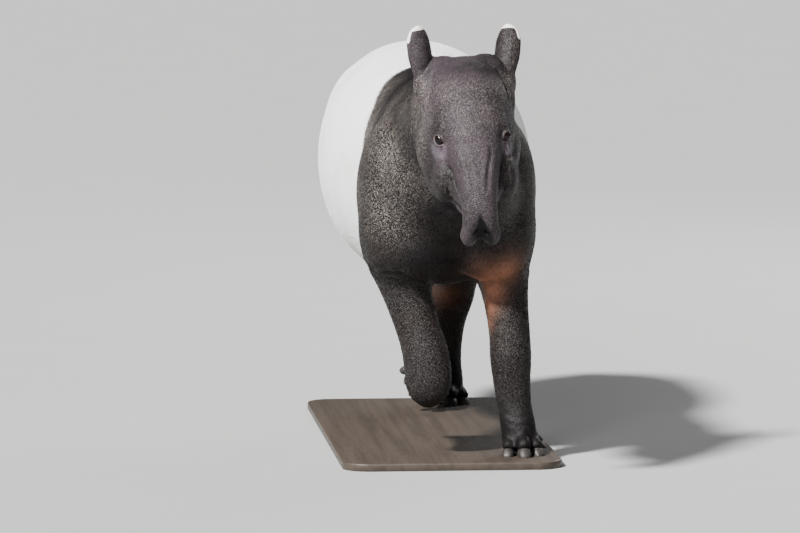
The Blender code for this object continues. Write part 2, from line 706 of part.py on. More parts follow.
def cuts():
    head = head_frame()
    yield plate("behind_head", (0, -0.250, 0.880), (0.60, 0.480), (10.5, 0, 0))
    yield plate("below_neck", (0, -0.070, 0.820), (0.70, 0.520), (-38, 0, 0))
    yield plate("behind_shoulder", (0, 0.300, 0.700), (0.90, 0.90))
    yield plate("before_haunch", (0, 0.730, 0.700), (0.90, 0.90))
    yield plate("tail_root", (0, 1.318, 0.778), (0.12, 0.080), (-66, 0, 0))
    yield plate("mouth", (0, -0.342, -0.038), (0.30, 0.130), (92, 0, 0), head, 0.0012)
    yield plate("jaw_root", (0, -0.262, -0.112), (0.30, 0.166), (24, 0, 0), head)
    yield plate("snout_root", (0, -0.352, 0.050), (0.26, 0.178), (10, 0, 0), head)
    yield shell("arm_left", (0.176, 0.030, 0.402), (0.196, 0.030, 0.740), 0.108, 0.150)
    yield shell("arm_right", (-0.134, 0.030, 0.402), (-0.190, 0.030, 0.740), 0.112, 0.150)
    yield shell("thigh_left", (0.168, 0.982, 0.420), (0.184, 0.945, 0.830), 0.122, 0.182)
    yield shell("thigh_right", (-0.085, 0.940, 0.385), (-0.184, 0.950, 0.830), 0.129, 0.186)
    yield plate("wrist_left", (0.167, 0.0, 0.190), (0.16, 0.16), (90, 0, 0))
    yield plate("wrist_right", (-0.053, 0.048, 0.200), (0.16, 0.16))
    yield plate("hock_left", (0.124, 1.142, 0.250), (0.14, 0.16), (90, 0, 0))
    yield plate("hock_right", (0.002, 1.012, 0.270), (0.14, 0.16), (90, 0, 0))


# Where the middle of each part of the flesh lies
PARTS = {
    "head": (0.010, -0.40, 0.88),
    "lower_jaw": (0.010, -0.50, 0.71),
    "proboscis": (0.010, -0.62, 0.70),
    "neck": (0.0, -0.15, 0.85),
    "chest": (0.0, 0.10, 0.72),
    "barrel": (0.0, 0.56, 0.70),
    "hindquarters": (0.0, 1.00, 0.78),
    "tail": (0.0, 1.32, 0.76),
    "upper_arm_left": (0.17, 0.03, 0.57),
    "forearm_left": (0.16, 0.01, 0.30),
    "forefoot_left": (0.18, -0.01, 0.09),
    "upper_arm_right": (-0.17, 0.03, 0.57),
    "forearm_right": (-0.07, -0.01, 0.28),
    "forefoot_right": (-0.07, 0.14, 0.17),
    "thigh_left": (0.17, 0.94, 0.62),
    "shank_left": (0.14, 1.05, 0.36),
    "hindfoot_left": (0.10, 1.08, 0.12),
    "thigh_right": (-0.16, 0.90, 0.62),
    "shank_right": (-0.08, 0.96, 0.36),
    "hindfoot_right": (0.01, 0.94, 0.16),
}


def part(body):
    """Cut the body through, and give every loose part an object and its own name."""
    carve(body, cuts())
    shape = bmesh.new()
    shape.from_mesh(body.data)
    bpy.data.objects.remove(body, do_unlink=True)
    left = set(shape.verts)
    parts = []
    while left:
        found = {left.pop()}
        edge = list(found)
        while edge:
            vert = edge.pop()
            for link in vert.link_edges:
                other = link.other_vert(vert)
                if other in left:
                    left.discard(other)
                    found.add(other)
                    edge.append(other)
        parts.append(found)
    made = []
    for found in parts:
        faces = {f for v in found for f in v.link_faces}
        areas = sum(f.calc_area() for f in faces)
        middle = sum((f.calc_center_median() * f.calc_area() for f in faces), Vector()) / areas
        name = min(PARTS, key=lambda n: (Vector(PARTS[n]) - middle).length)
        piece = bmesh.new()
        index = {vert: piece.verts.new(vert.co) for vert in found}
        for face in faces:
            piece.faces.new([index[v] for v in face.verts])
        made.append(name)
        yield object_from_bmesh(name, piece)
    if sorted(made) != sorted(PARTS):
        raise ValueError(f"the cuts gave other parts than planned: {sorted(made)}")


def base(low, high):
    """A flat slab under the feet, with rounded corners and a bevelled rim."""
    shape = bmesh.new()
    corner, rim = 0.07, 0.005
    rings = []
    for z, inset in ((0, 0), (BASE_THICKNESS - rim, 0), (BASE_THICKNESS, rim)):
        ring = []
        for k in range(4):
            turn = math.pi / 2 * k
            x = (high[0] if k in (0, 3) else low[0]) - (corner if k in (0, 3) else -corner)
            y = (high[1] if k in (0, 1) else low[1]) - (corner if k in (0, 1) else -corner)
            for i in range(7):
                angle = turn + math.pi / 2 * i / 6
                reach = corner - inset
                ring.append(shape.verts.new((x + math.cos(angle) * reach, y + math.sin(angle) * reach, z)))
        rings.append(ring)
    for one, two in zip(rings, rings[1:]):
        for k in range(len(one)):
            n = (k + 1) % len(one)
            shape.faces.new((one[k], one[n], two[n], two[k]))
    for ring in (rings[0], rings[-1]):
        shape.faces.new(ring)
    return object_from_bmesh("stand_base", shape)


# Colour and roughness of each kind of surface
SURFACES = {
    "dark_coat": ((0.040, 0.034, 0.037), 0.72),
    "white_coat": ((0.780, 0.765, 0.760), 0.78),
    "ear": ((0.060, 0.050, 0.056), 0.70),
    "eye": ((0.020, 0.011, 0.007), 0.06),
    "hoof": ((0.085, 0.072, 0.060), 0.45),
    "stand": ((0.060, 0.055, 0.050), 0.50),
}


def surface_of(name):
    kind = name.split("_")[0]
    if kind in ("ear", "eye", "hoof", "stand"):
        return kind
    return "white_coat" if kind in ("barrel", "hindquarters") else "dark_coat"


def finish(piece):
    """Shade the piece smooth between its real edges, and give it its own material."""
    piece.data.shade_smooth()
    piece.data.set_sharp_from_angle(angle=math.radians(50))
    colour, roughness = SURFACES[surface_of(piece.name)]
    material = bpy.data.materials.new(piece.name)
    material.use_nodes = True
    look = material.node_tree.nodes["Principled BSDF"]
    look.inputs["Base Color"].default_value = (*colour, 1)
    look.inputs["Roughness"].default_value = roughness
    look.inputs["Metallic"].default_value = 0
    piece.data.materials.append(material)


def extent(pieces):
    points = [v.co for piece in pieces for v in piece.data.vertices]
    return [[pick(p[axis] for p in points) for axis in range(3)] for pick in (min, max)]


def main():
    clear_scene()
    body = flesh()
    carve(body, seats())
    animal = list(part(body))
    for name, side in SIDES.items():
        animal += [ear("ear_" + name, side), eyeball("eye_" + name, side)]
    for name, foot in FEET.items():
        for number, toe in enumerate(foot.toes):
            animal.append(hoof(f"hoof_{name}_{number + 1}", foot, toe))
    low, high = extent(animal)
    middle = [(low[axis] + high[axis]) / 2 for axis in range(2)]
    for piece in animal:
        piece.data.transform(Matrix.Translation((-middle[0], -middle[1], BASE_THICKNESS + GAP)))
    feet = [foot.place.translation.y - middle[1] for foot in FEET.values()]
    half = (high[0] - low[0]) / 2
    slab = base((-half, min(feet) - 0.09 - BASE_MARGIN), (half, max(feet) + 0.05 + BASE_MARGIN))
    for piece in (*animal, slab):
        finish(piece)


main()
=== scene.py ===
"""The looks of a life-size malayan tapir model: one skin, a short coat, eyes, hooves and a base.

The skin is made of the same lofts and rounded pieces as the solids, fused and relaxed in the raw
frame of the animal (ground at 0, the left forefoot's middle near y = 0), refined over the head and
feet, then sculpted: lids, lips, nostrils, wrinkles and folds. The coat is short tufts over it.
"""

import math

import bmesh
import bpy
import numpy as np
from mathutils import Euler, Matrix, Vector


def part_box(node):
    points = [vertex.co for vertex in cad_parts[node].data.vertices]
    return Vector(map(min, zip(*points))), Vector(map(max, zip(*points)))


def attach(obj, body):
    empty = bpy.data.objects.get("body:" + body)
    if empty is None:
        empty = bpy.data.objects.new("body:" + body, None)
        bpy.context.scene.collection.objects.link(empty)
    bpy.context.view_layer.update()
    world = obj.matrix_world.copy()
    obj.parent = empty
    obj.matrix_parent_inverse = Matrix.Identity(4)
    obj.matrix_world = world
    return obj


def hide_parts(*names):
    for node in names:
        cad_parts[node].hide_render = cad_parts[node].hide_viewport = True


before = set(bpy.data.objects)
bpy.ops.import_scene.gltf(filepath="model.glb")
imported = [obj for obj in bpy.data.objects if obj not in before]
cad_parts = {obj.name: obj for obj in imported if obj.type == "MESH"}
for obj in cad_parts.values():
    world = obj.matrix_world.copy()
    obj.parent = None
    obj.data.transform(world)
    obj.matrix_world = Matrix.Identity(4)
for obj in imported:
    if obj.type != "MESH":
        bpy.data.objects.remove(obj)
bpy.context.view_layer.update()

# Driving sizes
SHOULDER_HEIGHT = 0.980
RUMP_HEIGHT = 1.035
BELLY_HEIGHT = 0.388
BARREL_HALF_WIDTH = 0.287
HEAD_PITCH = math.radians(35)
HEAD_YAW = math.radians(-1.5)
HEAD_ROLL = math.radians(-3)
HEAD_AT = Vector((0.013, -0.285, 0.945))
EYE_RADIUS = 0.0168

# Making sizes: the grid that fuses the pieces, and the rounds that even the fused body out
VOXEL = 0.005
RELAX_ROUNDS = 400
SIDES = {"left": 1, "right": -1}


def object_from(name, mesh):
    made = bpy.data.objects.new(name, mesh)
    bpy.context.scene.collection.objects.link(made)
    return made


def object_from_bmesh(name, shape):
    bmesh.ops.recalc_face_normals(shape, faces=shape.faces)
    mesh = bpy.data.meshes.new(name)
    shape.to_mesh(mesh)
    shape.free()
    return object_from(name, mesh)


def close_rings(shape, rings):
    """Faces from each ring to the next, and over both ends."""
    for one, two in zip(rings, rings[1:]):
        for k in range(len(one)):
            n = (k + 1) % len(one)
            shape.faces.new((one[k], one[n], two[n], two[k]))
    for ring in (rings[0], rings[-1]):
        shape.faces.new(ring)


def eased(rows, steps):
    """The rows with more between them, on a Catmull-Rom curve through every column."""
    rows = np.array(rows, float)
    padded = np.vstack([2 * rows[0] - rows[1], rows, 2 * rows[-1] - rows[-2]])
    found = []
    for i in range(len(rows) - 1):
        before, first, second, after = padded[i : i + 4]
        for t in np.arange(steps) / steps:
            bend = (2 * before - 5 * first + 4 * second - after) * t**2
            turn = (3 * first - before - 3 * second + after) * t**3
            found.append(0.5 * (2 * first + (second - before) * t + bend + turn))
    return np.array(found + [rows[-1]])


def loft(name, rows, place=Matrix(), steps=4, around=28, square=2.0):
    """A closed tube through rows of x, y, z, half width, and reach to its two other sides.

    A ring stands square to the path. Its width runs along X, the first reach along X cross the path,
    and square above 2 makes the rings fuller at their corners.
    """
    rows = eased(rows, steps)
    centres = rows[:, :3]
    paths = np.gradient(centres, axis=0)
    shape = bmesh.new()
    rings = []
    for centre, path, (width, over, under) in zip(centres, paths, rows[:, 3:]):
        side = Vector((1, 0, 0))
        along = Vector(path).normalized()
        side = (side - along * side.dot(along)).normalized()
        rise = side.cross(along)
        ring = []
        for k in range(around):
            angle = 2 * math.pi * k / around
            across, up = math.cos(angle), math.sin(angle)
            across = math.copysign(abs(across) ** (2 / square), across) * width
            up = math.copysign(abs(up) ** (2 / square), up) * (over if up > 0 else under)
            ring.append(shape.verts.new(place @ (Vector(centre) + side * across + rise * up)))
        rings.append(ring)
    close_rings(shape, rings)
    return object_from_bmesh(name, shape)


def ball(name, centre, radii, turn=(0, 0, 0), place=Matrix(), fine=16):
    """An ellipsoid, turned by degrees about X, Y and Z."""
    shape = bmesh.new()
    turned = Euler([math.radians(t) for t in turn]).to_matrix().to_4x4()
    grown = Matrix.Diagonal((*radii, 1))
    bmesh.ops.create_uvsphere(
        shape,
        u_segments=fine + fine // 2,
        v_segments=fine,
        radius=1,
        matrix=place @ Matrix.Translation(centre) @ turned @ grown,
    )
    return object_from_bmesh(name, shape)


# The trunk

def trunk_pieces():
    """Chest, barrel and hindquarters as one loft, with the neck, shoulders and thighs set into it."""
    lift, drop, wide = RUMP_HEIGHT, BELLY_HEIGHT, BARREL_HALF_WIDTH
    # y, top, bottom, half width
    sections = [
        (-0.205, 0.690, 0.555, 0.075),
        (-0.180, 0.780, 0.500, 0.135),
        (-0.112, 0.890, 0.458, 0.174),
        (0.000, SHOULDER_HEIGHT - 0.012, 0.440, 0.194),
        (0.140, SHOULDER_HEIGHT, 0.426, 0.200),
        (0.290, SHOULDER_HEIGHT + 0.004, 0.412, 0.206),
        (0.420, lift - 0.040, drop + 0.010, wide * 0.86),
        (0.550, lift - 0.028, drop, wide * 0.965),
        (0.690, lift - 0.014, drop + 0.002, wide),
        (0.840, lift - 0.002, drop + 0.034, wide * 0.965),
        (0.970, lift, drop + 0.095, wide * 0.88),
        (1.080, lift - 0.028, drop + 0.155, wide * 0.78),
        (1.170, lift - 0.088, drop + 0.200, wide * 0.66),
        (1.230, lift - 0.165, drop + 0.250, wide * 0.48),
        (1.262, lift - 0.240, drop + 0.300, wide * 0.27),
    ]
    rows = []
    for y, top, bottom, half in sections:
        middle = bottom + 0.51 * (top - bottom)
        rows.append((0, y, middle, half, top - middle, middle - bottom))
    yield loft("trunk", rows, around=48, square=2.04)

    # From the back of the head down into the shoulders
    yield loft("neck", [
        (0.0, -0.330, 0.950, 0.100, 0.110, 0.090),
        (0.0, -0.255, 0.915, 0.124, 0.140, 0.118),
        (0.0, -0.180, 0.872, 0.138, 0.152, 0.145),
        (0.0, -0.100, 0.826, 0.152, 0.172, 0.195),
        (0.0, -0.010, 0.776, 0.168, 0.195, 0.235),
        (0.0, 0.100, 0.734, 0.182, 0.215, 0.250),
    ], around=40, square=2.1)

    for side in SIDES.values():
        yield ball("shoulder", (side * 0.147, 0.050, 0.708), (0.089, 0.150, 0.185), (20, side * -5, 0))
        yield ball("upper_arm", (side * 0.154, 0.020, 0.590), (0.080, 0.140, 0.150), (-30, 0, 0))
        yield ball("breast", (side * 0.088, -0.070, 0.570), (0.092, 0.092, 0.120), (12, 0, 0))
        yield ball("haunch", (side * 0.140, 0.990, 0.760), (0.118, 0.190, 0.210), (0, side * -4, 0))
        yield ball("buttock", (side * 0.076, 1.128, 0.720), (0.100, 0.110, 0.165), (16, 0, 0))


def tail_piece():
    return loft("tail", [
        (0.0, 1.190, 0.880, 0.044, 0.040, 0.040),
        (0.0, 1.255, 0.855, 0.036, 0.032, 0.032),
        (0.0, 1.300, 0.815, 0.028, 0.025, 0.025),
        (0.0, 1.322, 0.765, 0.021, 0.019, 0.019),
        (0.0, 1.328, 0.725, 0.016, 0.014, 0.014),
        (0.0, 1.328, 0.700, 0.009, 0.008, 0.008),
    ], around=20)


# The legs: x, y, z, half width, reach to the back, reach to the front

LEGS = {
    "fore_left": [
        (0.148, 0.030, 0.700, 0.060, 0.090, 0.090),
        (0.152, 0.030, 0.600, 0.074, 0.118, 0.100),
        (0.147, 0.038, 0.515, 0.076, 0.104, 0.088),
        (0.148, 0.030, 0.450, 0.069, 0.082, 0.072),
        (0.155, 0.015, 0.385, 0.060, 0.064, 0.060),
        (0.161, 0.004, 0.315, 0.055, 0.055, 0.054),
        (0.164, -0.002, 0.245, 0.0545, 0.056, 0.054),
        (0.168, 0.000, 0.180, 0.0490, 0.047, 0.043),
        (0.175, -0.002, 0.120, 0.0450, 0.043, 0.041),
        (0.183, -0.012, 0.070, 0.0465, 0.044, 0.048),
        (0.186, -0.020, 0.032, 0.0460, 0.042, 0.046),
        (0.187, -0.022, 0.012, 0.0400, 0.036, 0.040),
    ],
    "fore_right": [
        (-0.148, 0.030, 0.700, 0.060, 0.090, 0.090),
        (-0.150, 0.028, 0.600, 0.074, 0.118, 0.100),
        (-0.138, 0.030, 0.520, 0.076, 0.104, 0.092),
        (-0.116, 0.018, 0.455, 0.071, 0.080, 0.076),
        (-0.098, 0.002, 0.395, 0.064, 0.066, 0.066),
        (-0.077, -0.012, 0.325, 0.059, 0.058, 0.060),
        (-0.062, -0.024, 0.272, 0.061, 0.056, 0.058),
        (-0.055, -0.032, 0.222, 0.062, 0.058, 0.056),
        (-0.054, -0.034, 0.182, 0.060, 0.055, 0.053),
        (-0.054, -0.034, 0.152, 0.047, 0.044, 0.042),
        (-0.054, -0.033, 0.134, 0.028, 0.026, 0.026),
        (-0.054, -0.033, 0.124, 0.012, 0.012, 0.012),
    ],
    "hind_left": [
        (0.130, 0.990, 0.730, 0.075, 0.130, 0.150),
        (0.146, 0.950, 0.640, 0.092, 0.165, 0.140),
        (0.150, 0.940, 0.560, 0.086, 0.150, 0.112),
        (0.146, 0.980, 0.480, 0.070, 0.110, 0.088),
        (0.126, 1.054, 0.405, 0.074, 0.078, 0.070),
        (0.123, 1.122, 0.340, 0.069, 0.060, 0.058),
        (0.121, 1.154, 0.285, 0.062, 0.054, 0.050),
        (0.115, 1.145, 0.225, 0.0460, 0.043, 0.041),
        (0.109, 1.126, 0.165, 0.0400, 0.038, 0.038),
        (0.105, 1.112, 0.110, 0.0410, 0.042, 0.042),
        (0.105, 1.100, 0.065, 0.0445, 0.044, 0.048),
        (0.106, 1.092, 0.030, 0.0430, 0.040, 0.044),
        (0.106, 1.090, 0.012, 0.0370, 0.034, 0.038),
    ],
    "hind_right": [
        (-0.130, 0.990, 0.730, 0.075, 0.130, 0.150),
        (-0.138, 0.920, 0.640, 0.092, 0.165, 0.140),
        (-0.126, 0.882, 0.565, 0.086, 0.150, 0.112),
        (-0.080, 0.902, 0.492, 0.076, 0.112, 0.088),
        (-0.036, 0.950, 0.422, 0.064, 0.078, 0.068),
        (-0.008, 0.990, 0.362, 0.056, 0.058, 0.056),
        (0.004, 1.010, 0.312, 0.051, 0.056, 0.050),
        (0.010, 0.998, 0.262, 0.0420, 0.044, 0.042),
        (0.017, 0.966, 0.214, 0.0360, 0.037, 0.037),
        (0.024, 0.942, 0.172, 0.0385, 0.040, 0.040),
        (0.030, 0.922, 0.136, 0.0430, 0.043, 0.046),
        (0.033, 0.926, 0.104, 0.0430, 0.040, 0.044),
        (0.033, 0.932, 0.086, 0.0370, 0.034, 0.038),
    ],
}

# The folded forefoot: the shank runs back from the wrist, and the toes hang from its end
FOLDED_SHANK = [
    (-0.054, -0.052, 0.196, 0.046, 0.046, 0.040),
    (-0.053, -0.016, 0.192, 0.056, 0.052, 0.054),
    (-0.051, 0.030, 0.192, 0.050, 0.042, 0.046),
    (-0.049, 0.078, 0.191, 0.046, 0.038, 0.041),
    (-0.046, 0.120, 0.189, 0.046, 0.042, 0.042),
    (-0.044, 0.152, 0.184, 0.044, 0.042, 0.042),
    (-0.043, 0.180, 0.174, 0.038, 0.036, 0.036),
]


class Foot:
    """A foot's place and its toes."""

    def __init__(self, at, heading, side, toes, tip=0.0):
        turn = Matrix.Rotation(math.radians(heading), 4, "Z")
        self.place = Matrix.Translation(at) @ turn @ Matrix.Rotation(math.radians(tip), 4, "X")
        self.side = side
        self.toes = toes


# Each toe's place out to the side and ahead, degrees turned out, size, and height off the ground
FORE_TOES = [
    (-0.036, 0.030, -17, 0.88, 0.0),
    (0.0, 0.052, 0, 1.0, 0.0),
    (0.036, 0.030, 17, 0.88, 0.0),
    (0.048, -0.008, 62, 0.68, 0.014),
]
FOLDED_TOES = [
    (-0.034, 0.028, -14, 0.84, 0.0),
    (0.0, 0.048, 0, 0.96, 0.0),
    (0.034, 0.028, 14, 0.84, 0.0),
    (0.048, -0.008, 54, 0.64, 0.014),
]
HIND_TOES = [
    (-0.036, 0.030, -17, 0.86, 0.0),
    (0.0, 0.052, 0, 1.0, 0.0),
    (0.036, 0.030, 17, 0.86, 0.0),
]

FEET = {
    "fore_left": Foot((0.187, -0.022, 0.0), 4, 1, FORE_TOES),
    "fore_right": Foot((-0.042, 0.214, 0.202), 4, -1, FOLDED_TOES, tip=118),
    "hind_left": Foot((0.106, 1.090, 0.0), 2, 1, HIND_TOES),
    "hind_right": Foot((0.033, 0.932, 0.066), -2, -1, HIND_TOES, tip=24),
}
HOOF_WIDTH = 0.0185
HOOF_LENGTH = 0.042
HOOF_HEIGHT = 0.030
HOOF_BACK = 0.008
HOOF_SIDES = 26
# Sections of a hoof: share of its length from the back, then of its width and height
HOOF_PROFILE = [
    (0.0, 0.90, 0.94), (0.30, 0.99, 0.97), (0.58, 0.965, 0.80), (0.82, 0.82, 0.50), (1.0, 0.50, 0.16)
]


def toe_place(foot, toe):
    out, ahead, heading, size, height = toe
    at = Matrix.Translation((out * foot.side, -ahead, height))
    turn = Matrix.Rotation(math.radians(heading * foot.side), 4, "Z")
    return foot.place @ at @ turn @ Matrix.Scale(size, 4)


def toe_flesh(name, foot, toe):
    return loft(name, [
        (0, 0.036, 0.046, 0.019, 0.022, 0.020),
        (0, 0.012, 0.036, 0.0205, 0.022, 0.022),
        (0, -0.006, 0.026, 0.0200, 0.017, 0.021),
        (0, -0.015, 0.019, 0.0160, 0.011, 0.013),
    ], toe_place(foot, toe), around=16)


def leg_pieces():
    for name, rows in LEGS.items():
        yield loft(name, rows, around=28, square=2.1)
    yield loft("folded_shank", FOLDED_SHANK, around=28, square=2.1)
    for name, heel in (("left", (0.135, 1.176, 0.316)), ("right", (-0.010, 1.068, 0.340))):
        yield ball("heel_" + name, heel, (0.024, 0.028, 0.050), (-20, 0, 0))
    yield ball("elbow_left", (0.155, 0.118, 0.500), (0.040, 0.040, 0.060))
    yield ball("elbow_right", (-0.142, 0.116, 0.505), (0.040, 0.040, 0.060))
    for name, foot in FEET.items():
        for number, toe in enumerate(foot.toes):
            yield toe_flesh(f"toe_{name}_{number}", foot, toe)
        yield ball("pad_" + name, (0, 0.012, 0.026), (0.040, 0.034, 0.026), place=foot.place)


# The head, in a frame of its own: origin where it joins the neck, snout towards -Y, mouth line level

def head_frame():
    turn = Euler((HEAD_PITCH, 0, 0)).to_matrix().to_4x4()
    sway = Euler((0, HEAD_ROLL, HEAD_YAW)).to_matrix().to_4x4()
    return Matrix.Translation(HEAD_AT) @ sway @ turn


EYE_AT = (0.0785, -0.240, 0.066)
EYE_LOOK = (0.68, -0.68, 0.28)
EAR_AT = (0.097, -0.022, 0.096)
EAR_LEAN = {1: 10, -1: 6}
EAR_BACK = {1: -22, -1: -2}
EAR_LENGTH = 0.128
EAR_HALF_WIDTH = 0.045
EAR_THICK = 0.0062
EAR_BURIED = 0.014
EAR_BOW = 0.008

SKULL = [
    (0, -0.375, -0.010, 0.038, 0.030, 0.030),
    (0, -0.350, 0.004, 0.052, 0.052, 0.052),
    (0, -0.310, 0.008, 0.068, 0.080, 0.076),
    (0, -0.265, 0.008, 0.086, 0.106, 0.100),
    (0, -0.215, 0.008, 0.103, 0.128, 0.120),
    (0, -0.160, 0.006, 0.114, 0.142, 0.132),
    (0, -0.105, 0.006, 0.118, 0.148, 0.134),
    (0, -0.050, 0.010, 0.113, 0.142, 0.118),
    (0, 0.005, 0.016, 0.104, 0.118, 0.098),
    (0, 0.045, 0.022, 0.086, 0.094, 0.080),
]
PROBOSCIS = [
    (0, -0.457, -0.076, 0.036, 0.020, 0.020),
    (0, -0.456, -0.046, 0.045, 0.031, 0.030),
    (0, -0.444, -0.018, 0.045, 0.036, 0.036),
    (0, -0.415, 0.008, 0.046, 0.040, 0.042),
    (0, -0.375, 0.028, 0.052, 0.045, 0.046),
    (0, -0.328, 0.042, 0.061, 0.053, 0.050),
    (0, -0.280, 0.048, 0.069, 0.059, 0.058),
    (0, -0.225, 0.044, 0.062, 0.052, 0.052),
]


def mirrored(point, side):
    return (side * point[0], *point[1:])


def ear_place(side):
    """The frame of an ear: up along it from its root, its opening towards +Y and turned outwards."""
    return (
        head_frame()
        @ Matrix.Translation(mirrored(EAR_AT, side))
        @ Matrix.Rotation(-HEAD_PITCH, 4, "X")
        @ Matrix.Rotation(math.radians(EAR_LEAN[side] * side), 4, "Y")
        @ Matrix.Rotation(math.radians(EAR_BACK[side]), 4, "X")
        @ Matrix.Rotation(math.radians(side * -32), 4, "Z")
    )


def ear_section(t):
    """Radius and half angle of the arc, and half the wall, at a share of the ear's height."""
    broad = 0.70 + 0.31 * math.sin(math.pi * min(t, 0.5)) - 0.25 * max(0.0, t - 0.5)
    if t > 0.64:
        broad *= math.sqrt(max(0.004, 1 - ((t - 0.64) / 0.361) ** 2))
    curl = math.radians(86 - 30 * t)
    radius = EAR_HALF_WIDTH * broad / curl
    return radius, curl, min(EAR_THICK * (1 - 0.45 * t), 0.8 * radius) / 2


def head_pieces():
    place = head_frame()
    yield loft("skull", SKULL, place, around=40, square=2.45)
    yield loft("proboscis", PROBOSCIS, place, around=32, square=2.3)
    for side in SIDES.values():
        aside = (-14, 0, side * -8)
        yield ball("cheek", (side * 0.080, -0.138, -0.056), (0.052, 0.108, 0.092), aside, place)
        aside = (-4, 0, side * 8)
        yield ball("jowl", (side * 0.064, -0.206, -0.066), (0.054, 0.104, 0.058), aside, place)
        aside = (0, 0, side * 14)
        yield ball("cheek_front", (side * 0.064, -0.258, -0.024), (0.040, 0.092, 0.070), aside, place)
        yield ball("crown", (side * 0.052, -0.020, 0.096), (0.055, 0.060, 0.034), (8, 0, 0), place)
        aside = (24, 0, side * 10)
        yield ball("brow", (side * 0.068, -0.212, 0.088), (0.021, 0.042, 0.021), aside, place)
        aside = (20, 0, side * 16)
        yield ball("under_eye", (side * 0.072, -0.252, 0.036), (0.020, 0.038, 0.028), aside, place)
        yield ball("eye_mound", mirrored(EYE_AT, side), (0.0214, 0.0228, 0.0219), place=place)
        yield loft("ear_base", [
            (side * -0.006, 0.020, -0.050, 0.034, 0.034, 0.030),
            (side * -0.008, 0.018, -0.022, 0.038, 0.032, 0.028),
            (side * -0.012, 0.016, 0.002, 0.036, 0.028, 0.022),
            (side * -0.016, 0.014, 0.026, 0.029, 0.022, 0.014),
            (side * -0.018, 0.013, 0.046, 0.022, 0.014, 0.008),
            (side * -0.020, 0.012, 0.062, 0.010, 0.006, 0.004),
        ], ear_place(side), around=20)
        yield loft("ear_root", [
            (side * 0.097, -0.140, 0.034, 0.014, 0.016, 0.016),
            (side * 0.101, -0.105, 0.054, 0.020, 0.026, 0.024),
            (side * 0.101, -0.068, 0.072, 0.022, 0.028, 0.026),
            (side * 0.097, -0.034, 0.086, 0.024, 0.026, 0.026),
        ], place, around=18)
        yield loft("lip", [
            (side * 0.016, -0.398, -0.022, 0.020, 0.018, 0.022),
            (side * 0.038, -0.362, -0.016, 0.020, 0.022, 0.022),
            (side * 0.058, -0.318, -0.010, 0.019, 0.026, 0.022),
            (side * 0.074, -0.272, -0.002, 0.018, 0.028, 0.022),
        ], place, around=18)
        yield ball("snout_lobe", (side * 0.027, -0.459, -0.064), (0.025, 0.024, 0.036), (0, 0, 0), place)
    yield loft("chin", [
        (0, -0.380, -0.062, 0.034, 0.016, 0.018),
        (0, -0.354, -0.064, 0.049, 0.030, 0.028),
        (0, -0.305, -0.066, 0.062, 0.042, 0.042),
        (0, -0.240, -0.068, 0.075, 0.044, 0.062),
    ], place, around=24, square=2.3)


def join(name, pieces):
    shape = bmesh.new()
    for piece in pieces:
        shape.from_mesh(piece.data)
        bpy.data.objects.remove(piece, do_unlink=True)
    mesh = bpy.data.meshes.new(name)
    shape.to_mesh(mesh)
    shape.free()
    return object_from(name, mesh)


def settle(body):
    """Put what the modifiers make in place of the body's mesh."""
    bpy.context.view_layer.update()
    graph = bpy.context.evaluated_depsgraph_get()
    mesh = bpy.data.meshes.new_from_object(body.evaluated_get(graph))
    body.modifiers.clear()
    body.data = mesh


def fuse(body, voxel):
    remesh = body.modifiers.new("fuse", "REMESH")
    remesh.mode = "VOXEL"
    remesh.voxel_size = voxel
    settle(body)


def points_of(mesh):
    found = np.empty(len(mesh.vertices) * 3)
    mesh.vertices.foreach_get("co", found)
    return found.reshape(-1, 3)


def ramp(value, low, high):
    t = np.clip((value - low) / (high - low), 0, 1)
    return t * t * (3 - 2 * t)


def headness(points):
    """1 on the head, falling to 0 down the neck."""
    return ramp(-points[:, 1], 0.20, 0.30)


def tailness(points):
    """1 on the tail's free end."""
    return ramp(points[:, 1], 1.262, 1.285)


def normals_of(mesh):
    found = np.empty(len(mesh.vertices) * 3)
    mesh.vertices.foreach_get("normal", found)
    return found.reshape(-1, 3)


def set_points(body, points):
    body.data.vertices.foreach_set("co", points.astype(np.float32).ravel())
    body.data.update()


def neighbours(mesh):
    ends = np.empty(len(mesh.edges) * 2, dtype=np.int64)
    mesh.edges.foreach_get("vertices", ends)
    return ends.reshape(-1, 2).T


def smooth(body, weight, rounds, pull=0.5, push=-0.8):
    """Even out the points where weight says so, every second round pushing back what the pull shrinks."""
    points = points_of(body.data)
    one, two = neighbours(body.data)
    count = np.bincount(np.concatenate([one, two]), minlength=len(points))[:, None]
    strength = (pull * weight)[:, None]
    for turn in range(rounds):
        total = np.zeros_like(points)
        for axis in range(3):
            total[:, axis] = np.bincount(one, points[two, axis], len(points))
            total[:, axis] += np.bincount(two, points[one, axis], len(points))
        points += (1.0 if turn % 2 == 0 else push) * strength * (total / count - points)
    set_points(body, points)


def relax(body):
    """Even out the joins between muscles, strongly on the trunk and little on the head, feet and tail."""
    points = points_of(body.data)
    legs = 1 - ramp(points[:, 2], 0.26, 0.46)
    kept = np.maximum(0.94 * headness(points), np.maximum(0.97 * legs, 0.98 * tailness(points)))
    smooth(body, 1 - kept, RELAX_ROUNDS, pull=0.55, push=-0.50)


# From the raw frame of the shapes to the model's frame

def box_middle(node):
    low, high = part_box(node)
    return (low + high) / 2


SHIFT = box_middle("eye_left") - head_frame() @ Vector(EYE_AT)
HEAD_TURN = np.array(head_frame().to_3x3())


def to_head(points):
    return (points - np.array(HEAD_AT)) @ HEAD_TURN


def from_head(points):
    return np.asarray(points, float) @ HEAD_TURN.T + np.array(HEAD_AT)


# Ears, finer than the solids and of the same size

